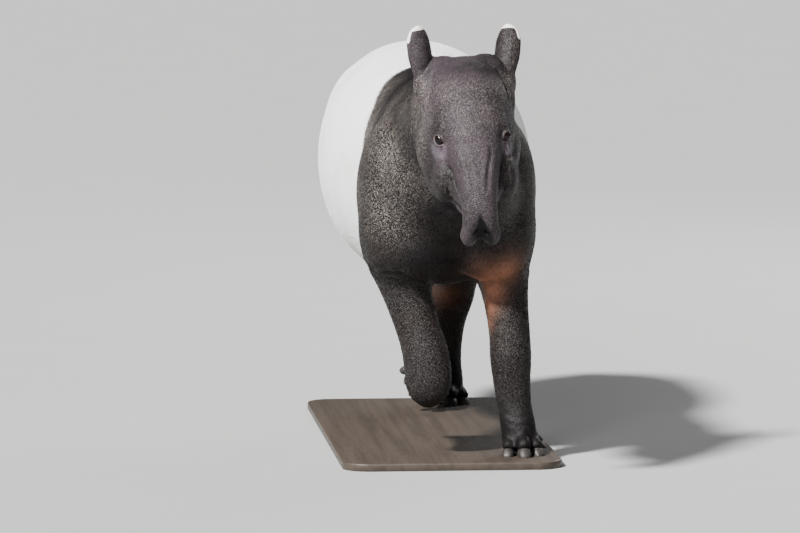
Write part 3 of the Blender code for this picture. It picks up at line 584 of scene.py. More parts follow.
def ear(name, side, rows=34, columns=22):
    """A cupped paddle, its rims rounded by a thinner wall there, its inside ridged lengthways."""
    place = ear_place(side)
    shape = bmesh.new()
    skins = []
    for face in (1, -1):
        skin = []
        for i in range(rows + 1):
            t = 1 - (1 - i / rows) ** 1.35
            radius, curl, wall = ear_section(t)
            row = []
            for j in range(columns + 1):
                v = -1 + 2 * j / columns
                thin = math.sqrt(max(0.06, 1 - abs(v) ** 5))
                ridge = 0.0006 * math.cos(5 * math.pi * v) * math.sin(math.pi * t) if face < 0 else 0
                reach = radius + face * wall * thin + ridge
                x = reach * math.sin(curl * v)
                y = radius - reach * math.cos(curl * v) - EAR_BOW * math.sin(math.pi * t)
                z = t * (EAR_LENGTH + EAR_BURIED) - EAR_BURIED
                row.append(shape.verts.new(place @ Vector((x, y, z))))
            skin.append(row)
        skins.append(skin)
    outer, inner = skins
    for i in range(rows):
        for j in range(columns):
            shape.faces.new((outer[i][j], outer[i][j + 1], outer[i + 1][j + 1], outer[i + 1][j]))
            shape.faces.new((inner[i][j], inner[i + 1][j], inner[i + 1][j + 1], inner[i][j + 1]))
    for i in range(rows):
        for j in (0, columns):
            shape.faces.new((outer[i][j], outer[i + 1][j], inner[i + 1][j], inner[i][j]))
    for j in range(columns):
        for i in (0, rows):
            shape.faces.new((outer[i][j], outer[i][j + 1], inner[i][j + 1], inner[i][j]))
    return object_from_bmesh(name, shape)


def ear_share(points, side):
    """A point's share of the ear's height and of its half width, and how near it is to the ear."""
    local = (np.c_[points, np.ones(len(points))] @ np.array(ear_place(side).inverted()).T)[:, :3]
    t = (local[:, 2] + EAR_BURIED) / (EAR_LENGTH + EAR_BURIED)
    steps = np.linspace(0, 1, 60)
    sections = np.array([ear_section(s) for s in steps])
    radius = np.interp(t, steps, sections[:, 0])
    curl = np.interp(t, steps, sections[:, 1])
    bow = radius - local[:, 1] - EAR_BOW * np.sin(math.pi * np.clip(t, 0, 1))
    v = np.arctan2(local[:, 0], bow) / curl
    off = np.abs(np.hypot(local[:, 0], bow) - radius)
    near = (off < 0.006) & (t > 0.12) & (t < 1.05) & (np.abs(v) < 1.15)
    return t, v, near


# Sculpting

def refine(body, wanted):
    """Divide every edge whose middle is in the region that wanted marks."""
    shape = bmesh.new()
    shape.from_mesh(body.data)
    ends = points_of(body.data)
    one, two = neighbours(body.data)
    chosen = wanted((ends[one] + ends[two]) / 2)
    shape.edges.ensure_lookup_table()
    edges = [shape.edges[i] for i in np.nonzero(chosen)[0]]
    bmesh.ops.subdivide_edges(shape, edges=edges, cuts=1, use_grid_fill=True)
    many = [face for face in shape.faces if len(face.verts) > 4]
    bmesh.ops.triangulate(shape, faces=many)
    mesh = bpy.data.meshes.new(body.name)
    shape.to_mesh(mesh)
    shape.free()
    body.data = mesh


def distance_to_line(points, path):
    """Each point's distance to a path, and its nearest place's share of the path."""
    best = np.full(len(points), 1e9)
    along = np.zeros(len(points))
    for i, (start, end) in enumerate(zip(path, path[1:])):
        span = end - start
        t = np.clip((points - start) @ span / max(span @ span, 1e-12), 0, 1)
        distance = np.linalg.norm(points - start - t[:, None] * span, axis=1)
        near = distance < best
        best[near] = distance[near]
        along[near] = (i + t[near]) / (len(path) - 1)
    return best, along


def on_surface(points, path, steps=5):
    """The path with more points between, each moved to the nearest point of the surface."""
    found = []
    for place in eased([tuple(p) for p in path], steps):
        found.append(points[np.argmin(((points - place) ** 2).sum(1))])
    return np.array(found)


class Sculpt:
    """Grooves, folds and swellings added to a body along its normals."""

    def __init__(self, body):
        self.body = body
        self.points = points_of(body.data)
        self.normals = normals_of(body.data)
        self.move = np.zeros(len(self.points))

    def line(self, path, width, depth, lips=0.35, fade=0.5):
        """A groove of that width and depth, with raised lips. A negative depth raises a ridge."""
        path = np.array(path, float)
        low, high = path.min(0) - 0.05, path.max(0) + 0.05
        near = np.nonzero(((self.points > low) & (self.points < high)).all(1))[0]
        if not len(near):
            return
        points = self.points[near]
        distance, along = distance_to_line(points, on_surface(points, path))
        taper = np.sin(math.pi * np.clip(along, 0.001, 0.999)) ** fade
        dip = np.exp(-((distance / width) ** 2))
        rise = lips * np.exp(-(((distance - 1.9 * width) / width) ** 2))
        self.move[near] += taper * depth * (rise - dip)

    def swell(self, middle, radii, height):
        """A soft swelling, or a hollow where height is below 0."""
        share = (((self.points - np.array(middle)) / np.array(radii)) ** 2).sum(1)
        self.move += height * np.exp(-share)

    def apply(self):
        set_points(self.body, self.points + self.normals * self.move[:, None])


def eye_axes(side):
    """The eye's middle, and its look, across and rise directions, in the head's frame."""
    look = Vector(mirrored(EYE_LOOK, side)).normalized()
    across = look.cross(Vector((0, 0, 1))).normalized()
    across = (across - Vector((0, 0, 0.22 * (1 if across.y < 0 else -1)))).normalized()
    rise = across.cross(look).normalized()
    if across.y > 0:
        across = -across
    return [np.array(v) for v in (mirrored(EYE_AT, side), look, across, rise)]


# The opening between the lids, as angles from the eye's middle, and the roundness of its outline
LID_WIDTH = math.radians(62)
LID_ABOVE = math.radians(47)
LID_BELOW = math.radians(46)
LID_ROUND = 1.9
# The lids' thickness, how much more the upper one has, and how far the opening goes into the eyeball
LID_THICK, UPPER_LID_MORE, OPENING_DEPTH = 0.0021, 0.0009, 0.0035
# Creases about an eye: place as a share of the opening, width there, depth, and whether above it
LID_CREASES = [
    (1.50, 0.09, 0.0012, True), (1.36, 0.06, 0.0006, False), (1.66, 0.07, 0.0008, False),
    (2.0, 0.08, 0.0007, False),
]
EYE_REGION = 0.045
FAR_FROM_EYE = 9


def eye_reach(local, side):
    """1 on the lids' margin, less inside the opening and more outside; and whether it is above."""
    middle, look, across, rise = eye_axes(side)
    offset = local - middle
    ahead = np.maximum(offset @ look, 1e-4)
    wide = np.arctan2(offset @ across, ahead) / LID_WIDTH
    high = np.arctan2(offset @ rise, ahead)
    above = high > 0
    high = np.where(above, high / LID_ABOVE, -high / LID_BELOW)
    reach = (np.abs(wide) ** LID_ROUND + np.abs(high) ** LID_ROUND) ** (1 / LID_ROUND)
    radius = np.linalg.norm(offset, axis=1)
    reach[(offset @ look) < 0] = FAR_FROM_EYE
    reach[radius > EYE_REGION] = FAR_FROM_EYE
    return reach, above, radius


def shape_lids(body):
    """Wrap the skin round each eye as lids with a rolled margin, and open them over the eyeball."""
    points = points_of(body.data)
    local = to_head(points)
    for side in SIDES.values():
        middle = np.array(mirrored(EYE_AT, side))
        reach, above, radius = eye_reach(local, side)
        lid = EYE_RADIUS + LID_THICK + UPPER_LID_MORE * np.where(above, 1.0, 0.3)
        lid = lid - 0.0006 * np.exp(-(((reach - 1.02) / 0.05) ** 2))
        crease = np.zeros(len(points))
        for at, width, depth, over in LID_CREASES:
            crease += depth * np.exp(-(((reach - at) / width) ** 2)) * (above == over)
        blend = ramp(reach, 1.30, 2.15)
        wanted = lid * (1 - blend) + radius * blend - crease
        inside = 1 - ramp(reach, 0.94, 1.0)
        wanted = wanted * (1 - inside) + (EYE_RADIUS - OPENING_DEPTH) * inside
        chosen = reach < 5
        scale = np.where(chosen, wanted / np.maximum(radius, 1e-6), 1.0)
        local = middle + (local - middle) * scale[:, None]
    set_points(body, from_head(local))


NOSTRIL_MOUTH = (0.0145, -0.484, -0.056)
NOSTRIL_END = (0.0130, -0.446, -0.030)
NOSTRIL_RADIUS, NOSTRIL_DEPTH = 0.0046, 0.014
NOSTRIL_RIM_AT, NOSTRIL_RIM_WIDTH, NOSTRIL_RIM = 0.0105, 0.0035, 0.0008


def shape_nostrils(body):
    """Push the snout's end in along each nostril, with a thick rim outside it."""
    points = points_of(body.data)
    local = to_head(points)
    for side in SIDES.values():
        mouth = np.array(mirrored(NOSTRIL_MOUTH, side))
        inward = np.array(mirrored(NOSTRIL_END, side)) - mouth
        inward /= np.linalg.norm(inward)
        offset = local - mouth
        depth = offset @ inward
        across = offset - depth[:, None] * inward
        tall = across @ np.array((-0.25 * side, -0.5, 0.83))
        distance = np.sqrt(np.maximum((across**2).sum(1) - 0.45 * tall**2, 0))
        front = (depth < 0.030) & (depth > -0.030)
        hollow = np.exp(-((distance / NOSTRIL_RADIUS) ** 4)) * front
        rim = np.exp(-(((distance - NOSTRIL_RIM_AT) / NOSTRIL_RIM_WIDTH) ** 2)) * front
        local = local + (NOSTRIL_DEPTH * hollow - NOSTRIL_RIM * rim)[:, None] * inward
    set_points(body, from_head(local))


# Lines of the face in the head's frame, on the left side: path, width and depth
MOUTH = [(0.022, -0.404, -0.046), (0.044, -0.380, -0.038), (0.060, -0.354, -0.026), (0.070, -0.330, -0.012)]
FACE_LINES = [
    # mouth, from under the snout to its corner
    (MOUTH, 0.0030, 0.0080),
    # from the corner of the mouth down
    ([(0.070, -0.330, -0.012), (0.080, -0.306, -0.022), (0.084, -0.290, -0.040)], 0.0050, 0.0008),
    # between cheek and upper lip, down beside the snout
    ([(0.071, -0.306, 0.036), (0.063, -0.330, 0.030), (0.053, -0.362, 0.014), (0.047, -0.400, 0.002),
      (0.045, -0.428, -0.010)], 0.0052, 0.0052),
    # under the eye
    ([(0.066, -0.284, 0.054), (0.082, -0.274, 0.040), (0.098, -0.248, 0.036)], 0.0028, 0.0010),
    ([(0.072, -0.296, 0.040), (0.090, -0.274, 0.020), (0.104, -0.240, 0.012)], 0.0040, 0.0008),
    # over the eye
    ([(0.066, -0.262, 0.092), (0.084, -0.240, 0.088), (0.098, -0.206, 0.074)], 0.0030, 0.0011),
    # behind the eye
    ([(0.094, -0.222, 0.072), (0.101, -0.200, 0.066), (0.106, -0.180, 0.058)], 0.0030, 0.0016),
    ([(0.093, -0.224, 0.060), (0.101, -0.204, 0.050)], 0.0026, 0.0013),
    # before the ear's root
    ([(0.086, -0.040, 0.124), (0.090, -0.085, 0.108), (0.094, -0.140, 0.086)], 0.0060, 0.0046),
    # behind the jaw
    ([(0.104, -0.010, 0.050), (0.110, -0.020, 0.000), (0.104, -0.030, -0.050)], 0.0080, 0.0030),
]
# Folds of the bridge of the nose, not the same on both sides
BRIDGE_LINES = [
    ([(-0.036, -0.305, 0.099), (-0.027, -0.340, 0.090), (-0.020, -0.377, 0.076), (-0.016, -0.413, 0.057),
      (-0.015, -0.444, 0.034)], 0.0065, 0.0024),
    ([(0.040, -0.305, 0.096), (0.039, -0.335, 0.087), (0.031, -0.366, 0.077), (0.024, -0.402, 0.060),
      (0.021, -0.432, 0.042)], 0.0060, 0.0030),
]
# Ridges and swellings of the face: middle, radii and height
FACE_SWELLS = [
    ((0.0, -0.150, 0.150), (0.060, 0.080, 0.040), 0.0030),
    ((0.100, -0.150, 0.020), (0.020, 0.060, 0.020), 0.0030),
    ((0.100, -0.165, 0.074), (0.018, 0.040, 0.022), -0.0030),
    ((0.080, -0.090, -0.070), (0.030, 0.050, 0.040), 0.0020),
    # the lobes at the snout's end, and the hollow between them
    ((0.031, -0.470, -0.062), (0.014, 0.020, 0.030), 0.0030),
    ((-0.002, -0.484, -0.046), (0.019, 0.028, 0.042), -0.0190),
    # the flap of the upper lip
    ((0.056, -0.356, -0.004), (0.016, 0.036, 0.018), 0.0028),
]


# The rings round the snout: its length, their spacing and their depth
SNOUT_LENGTH, RING_STEP, RING_DEPTH = 0.235, 0.0072, 0.0007


def shape_face(body):
    face = Sculpt(body)
    for side in SIDES.values():
        for path, width, depth in FACE_LINES:
            face.line(from_head([mirrored(p, side) for p in path]), width, depth)
        for middle, radii, height in FACE_SWELLS:
            if abs(middle[0]) > 0.01 or side > 0:
                face.swell(from_head([mirrored(middle, side)])[0], radii, height)
    for path, width, depth in BRIDGE_LINES:
        face.line(from_head(path), width, depth)
    # Fine rings round the trunk of the nose
    local = to_head(face.points)
    centre = eased([row[:3] for row in PROBOSCIS], 8)
    distance, along = distance_to_line(local, centre)
    length = along * SNOUT_LENGTH
    wander = 0.0014 * np.sin(local[:, 0] * 210) + 0.001 * np.sin(local[:, 0] * 83 + 2)
    ring = np.cos(2 * math.pi * (length + wander) / RING_STEP) ** 2
    there = ramp(-local[:, 1], 0.330, 0.400) * (distance < 0.06)
    front = 0.35 + 0.65 * ramp(face.normals @ (HEAD_TURN @ np.array((0, -1, 0.2))), -0.4, 0.5)
    face.move -= RING_DEPTH * ring * there * front
    face.apply()


def both_sides(path, width, depth):
    """A fold and its mirror image."""
    return [([mirrored(point, side) for point in path], width, depth) for side in SIDES.values()]


# Folds of the body in the raw frame: path, width and depth
BODY_LINES = [
    # where each foreleg meets the chest
    ([(0.118, -0.072, 0.520), (0.104, -0.055, 0.470), (0.098, -0.030, 0.430)], 0.012, 0.008),
    ([(-0.112, -0.072, 0.530), (-0.092, -0.055, 0.480), (-0.078, -0.030, 0.440)], 0.012, 0.008),
    # across the folded arm
    ([(-0.165, -0.060, 0.490), (-0.130, -0.085, 0.482), (-0.090, -0.075, 0.480)], 0.008, 0.006),
    ([(-0.160, -0.055, 0.470), (-0.125, -0.075, 0.462)], 0.006, 0.003),
    # wrist of the folded leg, inside the bend
    ([(-0.095, 0.020, 0.235), (-0.055, 0.032, 0.238), (-0.015, 0.020, 0.235)], 0.007, 0.006),
    # elbows
    ([(0.215, 0.080, 0.520), (0.222, 0.050, 0.500), (0.215, 0.010, 0.490)], 0.012, 0.004),
    ([(-0.205, 0.080, 0.520), (-0.210, 0.050, 0.500), (-0.195, 0.010, 0.490)], 0.012, 0.004),
    # fetlock of the standing foreleg
    ([(0.140, -0.030, 0.108), (0.178, -0.056, 0.098), (0.222, -0.030, 0.106)], 0.007, 0.0010),
    ([(0.142, -0.040, 0.088), (0.182, -0.062, 0.078), (0.226, -0.036, 0.086)], 0.006, 0.0010),
    # flank folds before the thighs
    ([(0.262, 0.770, 0.600), (0.240, 0.800, 0.520), (0.205, 0.830, 0.455)], 0.020, 0.008),
    ([(-0.262, 0.750, 0.600), (-0.240, 0.770, 0.520), (-0.195, 0.790, 0.455)], 0.020, 0.008),
    # behind the shoulders
    *both_sides([(0.232, 0.200, 0.800), (0.240, 0.205, 0.680), (0.225, 0.180, 0.560)], 0.022, 0.005),
    # neck before the shoulders
    *both_sides([(0.170, -0.120, 0.900), (0.188, -0.110, 0.800), (0.178, -0.105, 0.700)], 0.018, 0.004),
    # throat folds
    ([(0.100, -0.245, 0.800), (0.060, -0.235, 0.745), (0.0, -0.225, 0.725), (-0.060, -0.235, 0.745)],
     0.008, 0.004),
    ([(0.110, -0.215, 0.760), (0.060, -0.205, 0.700), (0.0, -0.195, 0.680), (-0.070, -0.205, 0.710)],
     0.009, 0.004),
    # between the buttocks under the tail
    ([(0.0, 1.262, 0.780), (0.0, 1.232, 0.700), (0.0, 1.190, 0.620), (0.0, 1.130, 0.560)], 0.012, 0.010),
    # hocks
    ([(0.100, 1.096, 0.325), (0.137, 1.080, 0.330), (0.176, 1.098, 0.325)], 0.007, 0.0025),
    ([(-0.074, 0.990, 0.325), (-0.040, 0.970, 0.330), (0.000, 0.988, 0.325)], 0.007, 0.0025),
]


def shape_body(body):
    shape = Sculpt(body)
    for path, width, depth in BODY_LINES:
        shape.line(path, width, depth)
    shape.apply()


# Regions of the surface: how high the feet reach, the folded forefoot's middle and reach, and where
# the snout's root joins the forehead (middle and radii) and the cheeks and brows (middle and reach)
FEET_HEIGHT = 0.10
FOLDED_FOOT_AT, FOLDED_FOOT_REACH = (-0.07, 0.18, 0.17), 0.12
BRIDGE_AT, BRIDGE_RADII = (0, -0.285, 0.075), (0.085, 0.060, 0.055)
CHEEK_JOINS = [((0.085, -0.290, -0.030), 0.062), ((0.072, -0.240, 0.104), 0.034)]


def near_head(points):
    return points[:, 1] < -0.235


def near_face(points):
    """The snout, lips and the skin about the eyes."""
    local = to_head(points)
    face = (local[:, 1] < -0.255) & (local[:, 1] > -0.6)
    return near_head(points) & (face | near_eyes(points, 0.045))


def near_eyes(points, reach=0.027):
    local = to_head(points)
    found = np.zeros(len(points), bool)
    for side in SIDES.values():
        found |= np.linalg.norm(local - np.array(mirrored(EYE_AT, side)), axis=1) < reach
    return found


def near_feet(points):
    """The feet on the ground, and the folded forefoot."""
    folded = np.linalg.norm(points - np.array(FOLDED_FOOT_AT), axis=1) < FOLDED_FOOT_REACH
    return (points[:, 2] < FEET_HEIGHT) | folded


def bridge_join(points):
    """1 where the snout's root joins the forehead and the cheeks, and 0 away from there."""
    local = to_head(points)
    share = (((local - np.array(BRIDGE_AT)) / np.array(BRIDGE_RADII)) ** 2).sum(1)
    jaws = np.zeros(len(points))
    for side in SIDES.values():
        for middle, reach in CHEEK_JOINS:
            away = (local - np.array(mirrored(middle, side))) / reach
            jaws = np.maximum(jaws, np.exp(-(away**2).sum(1)))
    weight = np.maximum(np.exp(-share), jaws) * (headness(points) > 0.5)
    eyes = near_eyes(points, 0.034)
    return np.where(eyes, 0.15 * weight, weight)


# How far the hide lies inside the solids, under the coat, and how much less on the head
BODY_INSET, HEAD_LESS = 0.0012, 0.0006
# Rounds of smoothing: head and feet, the snout's joins, the face, the skin at the eyes, the ears' roots
HEAD_ROUNDS, BRIDGE_ROUNDS, FACE_ROUNDS, EYE_ROUNDS, EAR_ROUNDS = 8, 120, 6, 4, 14


def make_skin():
    """The whole hide with its ears as one surface, in the raw frame."""
    body = join("skin", [*trunk_pieces(), tail_piece(), *leg_pieces(), *head_pieces()])
    fuse(body, VOXEL)
    relax(body)
    points = points_of(body.data)
    inset = BODY_INSET - HEAD_LESS * headness(points)
    set_points(body, points - normals_of(body.data) * inset[:, None])
    refine(body, lambda p: near_head(p) | near_feet(p))
    points = points_of(body.data)
    smooth(body, np.maximum(headness(points), near_feet(points)), HEAD_ROUNDS)
    smooth(body, bridge_join(points_of(body.data)), BRIDGE_ROUNDS)
    refine(body, near_face)
    smooth(body, near_face(points_of(body.data)) * 1.0, FACE_ROUNDS)
    refine(body, near_eyes)
    smooth(body, near_eyes(points_of(body.data)) * 1.0, EYE_ROUNDS)
    shape_face(body)
    shape_body(body)
    shape_nostrils(body)
    shape_lids(body)
    for name, side in SIDES.items():
        added = ear("ear_" + name, side)
        weld = body.modifiers.new("ear", "BOOLEAN")
        weld.operation, weld.solver, weld.object = "UNION", "MANIFOLD", added
        settle(body)
        bpy.data.objects.remove(added, do_unlink=True)
    points = points_of(body.data)
    root = np.zeros(len(points))
    for side in SIDES.values():
        foot = np.array(ear_place(side).translation)
        root = np.maximum(root, 1 - ramp(np.linalg.norm(points - foot, axis=1), 0.038, 0.052))
    smooth(body, root, EAR_ROUNDS)
    return body


# Markings, and the painted light and shade

# The white saddle: its front edge as z and y, how far that leans ahead on the left, and its lower
# edge as y and z
FRONT_EDGE = [
    (0.38, 0.340), (0.50, 0.300), (0.62, 0.272), (0.75, 0.280), (0.88, 0.330), (0.96, 0.400), (1.05, 0.440)
]
FRONT_LEAN = 0.12
REAR_EDGE = [
    (0.60, 0.36), (0.76, 0.44), (0.88, 0.53), (1.00, 0.58), (1.12, 0.62), (1.22, 0.68), (1.30, 0.74)
]
EDGE_WAVE = 0.008
# The tail is dark behind this y, by a line that leans with its height
TAIL_FROM, TAIL_DARK_AT, TAIL_DARK_HEIGHT = 1.285, 1.30, 0.80


def wavering(points):
    """A slow wave of about 1 either way over the hide, for edges and patches."""
    x, y, z = points.T
    return (
        np.sin(17 * x + 9 * z + 1.3) + np.sin(23 * z - 11 * y) + np.sin(31 * y + 19 * x + 0.7)
    ) / 3


# Bare warm skin where the left foreleg meets the trunk, and a painted pool of sunlight on the inner
# left hind leg: middle, reach and strength
WARM_PLACES = [
    ((0.122, -0.080, 0.490), 0.052, 0.9),
    ((0.098, -0.062, 0.470), 0.044, 1.0),
    ((0.100, -0.040, 0.430), 0.040, 0.9),
    ((0.100, -0.012, 0.390), 0.030, 0.7),
    ((0.100, -0.004, 0.345), 0.024, 0.35),
    # a painted pool of sunlight on the inner left hind leg
    ((0.078, 1.100, 0.330), 0.055, 0.7),
]
# Where the neck folds behind the jaw, paler as a painted highlight: middle, reaches and strength
PALE_PLACES = [
    ((-0.150, -0.100, 0.800), (0.050, 0.080, 0.110), 1.0),
    ((0.175, -0.080, 0.770), (0.050, 0.080, 0.120), 0.35),
]
# The middle of the lilac skin under an eye
UNDER_EYE = [(0.080, -0.272, 0.050), (0.092, -0.254, 0.038), (0.099, -0.234, 0.026)]
UNDER_EYE_REACH = 0.019
# Scratches of the forehead, and a pale dot beside them
SCRATCHES = [
    [(0.012, -0.141, 0.150), (0.024, -0.149, 0.148), (0.038, -0.160, 0.144)],
    [(0.006, -0.172, 0.144), (0.026, -0.182, 0.140)],
    [(-0.044, -0.178, 0.137), (-0.043, -0.181, 0.137)],
]
SCRATCH_WIDTH = 0.0016


# How far the near-black painted shade reaches from the nostrils, the mouth's line and the folds of the
# bridge
NOSTRIL_SHADE, MOUTH_SHADE, FOLD_SHADE = 0.008, 0.0040, 0.0032
# The hollow between the snout's lobes, painted near black as its shade: its half width at the top and
# more of it at the bottom, and how far it leans to the animal's left
HOLLOW_HALF, HOLLOW_SPREAD, HOLLOW_LEAN = 0.004, 0.023, 0.008


def hollow_shade_share(local):
    """Painted shade, near black: nostrils, the line of the mouth, the hollow of the snout's end, deep
    folds.
    """
    wet = np.zeros(len(local))
    for side in SIDES.values():
        a, b = (np.array(mirrored(p, side)) for p in (NOSTRIL_MOUTH, NOSTRIL_END))
        distance = distance_to_line(local, [a, b])[0]
        wet = np.maximum(wet, np.exp(-((distance / NOSTRIL_SHADE) ** 4)))
        distance = distance_to_line(local, np.array([mirrored(p, side) for p in MOUTH]))[0]
        wet = np.maximum(wet, np.exp(-((distance / MOUTH_SHADE) ** 4)))
    low = ramp(-local[:, 2], -0.005, 0.058)
    half = HOLLOW_HALF + HOLLOW_SPREAD * low
    hollow = 1 - ramp(np.abs(local[:, 0] + 0.001 - HOLLOW_LEAN * low) / half, 0.55, 1.15)
    hollow *= ramp(-local[:, 2], -0.014, 0.010) * ramp(-local[:, 1], 0.432, 0.452)
    wet = np.maximum(wet, hollow)
    for path, _, depth in BRIDGE_LINES:
        distance, along = distance_to_line(local, np.array(path))
        share = 250 * depth * np.sin(math.pi * along)
        wet = np.maximum(wet, share * np.exp(-((distance / FOLD_SHADE) ** 2)))
    return np.clip(wet, 0, 1)


def inside_saddle(points):
    """Metres inside the edge of the white patch, and below 0 outside it. The tail's tip is dark."""
    x, y, z = points.T
    front = y - np.interp(z, *np.array(FRONT_EDGE).T)
    front += FRONT_LEAN * ramp(x, 0.0, 0.20) * ramp(z, 0.68, 0.87)
    rear = 0.8 * (z - np.interp(y, *np.array(REAR_EDGE).T))
    saddle = np.minimum(front, rear) + EDGE_WAVE * wavering(points)
    tail = TAIL_DARK_AT - y - 0.3 * (TAIL_DARK_HEIGHT - z)
    return np.where(y > TAIL_FROM, np.minimum(saddle, tail), saddle)


def glint_and_scratch_share(points, local, head, saddle):
    """Painted glints on hair: on neck and shoulders, beside the saddle, fewer on head and legs; pale
    scratches.
    """
    x, y, z = points.T
    # painted glints: more on the animal's right side, where the light falls
    sides = ramp(np.abs(x), 0.06, 0.17) * np.where(x < 0, 1.0, 0.62)
    neck = ramp(-y, -0.30, -0.05) * (1 - ramp(-y, 0.26, 0.38)) * ramp(z, 0.46, 0.66)
    pale = neck * (0.12 + 0.50 * sides) * (1 - head * 0.6)
    beside = (1 - ramp(-saddle, 0.01, 0.16)) * ramp(-x, 0.05, 0.15) * ramp(z, 0.50, 0.70)
    pale = np.maximum(pale, beside * (1.0 - 0.3 * ramp(z, 0.90, 1.0)))
    # painted highlights on the folds behind the jaw
    for at, reach, strength in PALE_PLACES:
        away = np.linalg.norm((points - np.array(at)) / np.array(reach), axis=1)
        pale = np.maximum(pale, strength * np.exp(-away**2) * (1 - head))
    pale *= 0.75 + 0.35 * wavering(points * 1.7)
    jaws = ramp(np.abs(local[:, 0]), 0.07, 0.11) * ramp(local[:, 1], -0.24, -0.14)
    pale = np.maximum(pale, 0.55 * head * jaws)
    # painted glints on the lower legs
    pale = np.maximum(pale, 0.15 * ramp(z, 0.05, 0.2) * (1 - ramp(z, 0.40, 0.55)))
    # paler towards the top of the head: a painted highlight
    pale = np.maximum(pale, head * (0.16 + 0.14 * ramp(local[:, 2], 0.06, 0.14)))
    for path in SCRATCHES:
        distance = distance_to_line(local, np.array(path))[0]
        pale = np.maximum(pale, 0.9 * np.exp(-((distance / SCRATCH_WIDTH) ** 2)))
    ears = ramp(z, 0.985, 1.025)
    return pale * (1 - 0.65 * ears)


def warm_skin_and_sunlit_share(points):
    """Bare warm skin where the foreleg meets the trunk, and a painted pool of sunlight on the hind leg."""
    warm = np.zeros(len(points))
    for at, reach, strength in WARM_PLACES:
        away = np.linalg.norm(points - np.array(at), axis=1) / reach
        warm = np.maximum(warm, strength * np.exp(-away**2))
    return warm


def eye_shares(local):
    """The pink margin of the lids, fuller on the lower lid as a painted wet highlight, and the lilac skin
    under the eyes.
    """
    lid = np.zeros(len(local))
    lilac = np.zeros(len(local))
    for side in SIDES.values():
        reach, above, _ = eye_reach(local, side)
        margin = (1 - ramp(reach, 1.04, 1.17)) * ramp(reach, 0.90, 0.98)
        # the lower margin fuller: there the pink is also a painted wet highlight
        lid = np.maximum(lid, margin * np.where(above, 0.40, 1.0))
        distance = distance_to_line(local, np.array([mirrored(p, side) for p in UNDER_EYE]))[0]
        lilac = np.maximum(lilac, np.exp(-((distance / UNDER_EYE_REACH) ** 3)))
    return lid, lilac


def rim_share(points):
    """The white rims of the ears, round the tip and down both edges."""
    rim = np.zeros(len(points))
    for side in SIDES.values():
        t, v, near = ear_share(points, side)
        edge = np.maximum(ramp(np.abs(v), 0.72, 0.86) * ramp(t, 0.66, 0.80), ramp(t, 0.905, 0.940))
        rim = np.maximum(rim, edge * near)
    return rim


def head_sheen_share(local, head):
    """Painted sheen, greyer than the body, on the head: less on the lower cheeks and its left side, as
    painted shade.
    """
    cheeks = ramp(np.abs(local[:, 0]), 0.045, 0.085) * ramp(-local[:, 2], -0.045, 0.010)
    cheeks = np.maximum(cheeks, ramp(local[:, 0], 0.055, 0.10))
    return head * (1 - 0.75 * cheeks)


def markings(points):
    """The markings and painted light, the same for skin and coat: metres for the saddle, and shares for the
    rest.
    """
    local = to_head(points)
    head = headness(points)
    saddle = inside_saddle(points)
    lid, lilac = eye_shares(local)
    return {
        "saddle": saddle, "pale": glint_and_scratch_share(points, local, head, saddle), "warm": warm_skin_and_sunlit_share(points),
        "lid": lid, "lilac": lilac, "rim": rim_share(points), "wet": hollow_shade_share(local),
        # the head's painted sheen
        "head": head_sheen_share(local, head),
    }


def mark(mesh, values):
    for name, value in values.items():
        layer = mesh.attributes.new(name, "FLOAT", "POINT")
        layer.data.foreach_set("value", np.asarray(value, np.float32))


# Materials

class Graph:
    """A material being wired up from its Principled BSDF back."""

    def __init__(self, name, **constants):
        self.material = bpy.data.materials.new(name)
        self.material.use_nodes = True
        self.tree = self.material.node_tree
        self.shader = self.tree.nodes["Principled BSDF"]
        for socket, value in constants.items():
            self.shader.inputs[socket.replace("_", " ")].default_value = value
        self.place = self.add("ShaderNodeTexCoord", output="Object")

    def put(self, socket, value):
        if isinstance(value, bpy.types.NodeSocket):
            self.tree.links.new(value, socket)
        elif isinstance(value, tuple) and len(value) == 3 and socket.type == "RGBA":
            socket.default_value = (*value, 1)
        else:
            socket.default_value = value

    def add(self, kind, inputs=None, output=0, **settings):
        made = self.tree.nodes.new(kind)
        for key, value in settings.items():
            setattr(made, key, value)
        for key, value in (inputs or {}).items():
            self.put(made.inputs[key], value)
        return made.outputs[output]

    def value(self, name):
        return self.add("ShaderNodeAttribute", output="Fac", attribute_name=name)

    def noise(self, scale, detail, stretch=(1, 1, 1)):
        at = self.add("ShaderNodeMapping", {"Vector": self.place, "Scale": stretch})
        inputs = {"Vector": at, "Scale": scale, "Detail": detail, "Roughness": 0.55}
        return self.add("ShaderNodeTexNoise", inputs, noise_type="FBM")

    def edges(self, scale):
        """Distance to the edge of the nearest of many cells."""
        at = self.add("ShaderNodeMapping", {"Vector": self.place, "Scale": (1, 1, 1)})
        return self.add("ShaderNodeTexVoronoi", {"Vector": at, "Scale": scale}, feature="DISTANCE_TO_EDGE")

    def sums(self, how, one, two, third=0.0):
        made = self.tree.nodes.new("ShaderNodeMath")
        made.operation = how
        for socket, value in zip(made.inputs, (one, two, third)):
            self.put(socket, value)
        return made.outputs[0]

    def ramp(self, value, low, high, first=0.0, last=1.0):
        return self.add(
            "ShaderNodeMapRange",
            {"Value": value, "From Min": low, "From Max": high, "To Min": first, "To Max": last},
            interpolation_type="SMOOTHSTEP",
        )

    def mix(self, share, one, two):
        made = self.tree.nodes.new("ShaderNodeMix")
        made.data_type = "RGBA"
        self.put(made.inputs[0], share)
        self.put(made.inputs[6], one)
        self.put(made.inputs[7], two)
        return made.outputs[2]

    def finish(self, colour=None, roughness=None, bumps=()):
        if colour is not None:
            self.put(self.shader.inputs["Base Color"], colour)
        if roughness is not None:
            self.put(self.shader.inputs["Roughness"], roughness)
        normal = None
        for height, depth in bumps:
            inputs = {"Height": height, "Distance": depth, "Strength": 1.0}
            if normal is not None:
                inputs["Normal"] = normal
            normal = self.add("ShaderNodeBump", inputs)
        if normal is not None:
            self.put(self.shader.inputs["Normal"], normal)
        return self.material


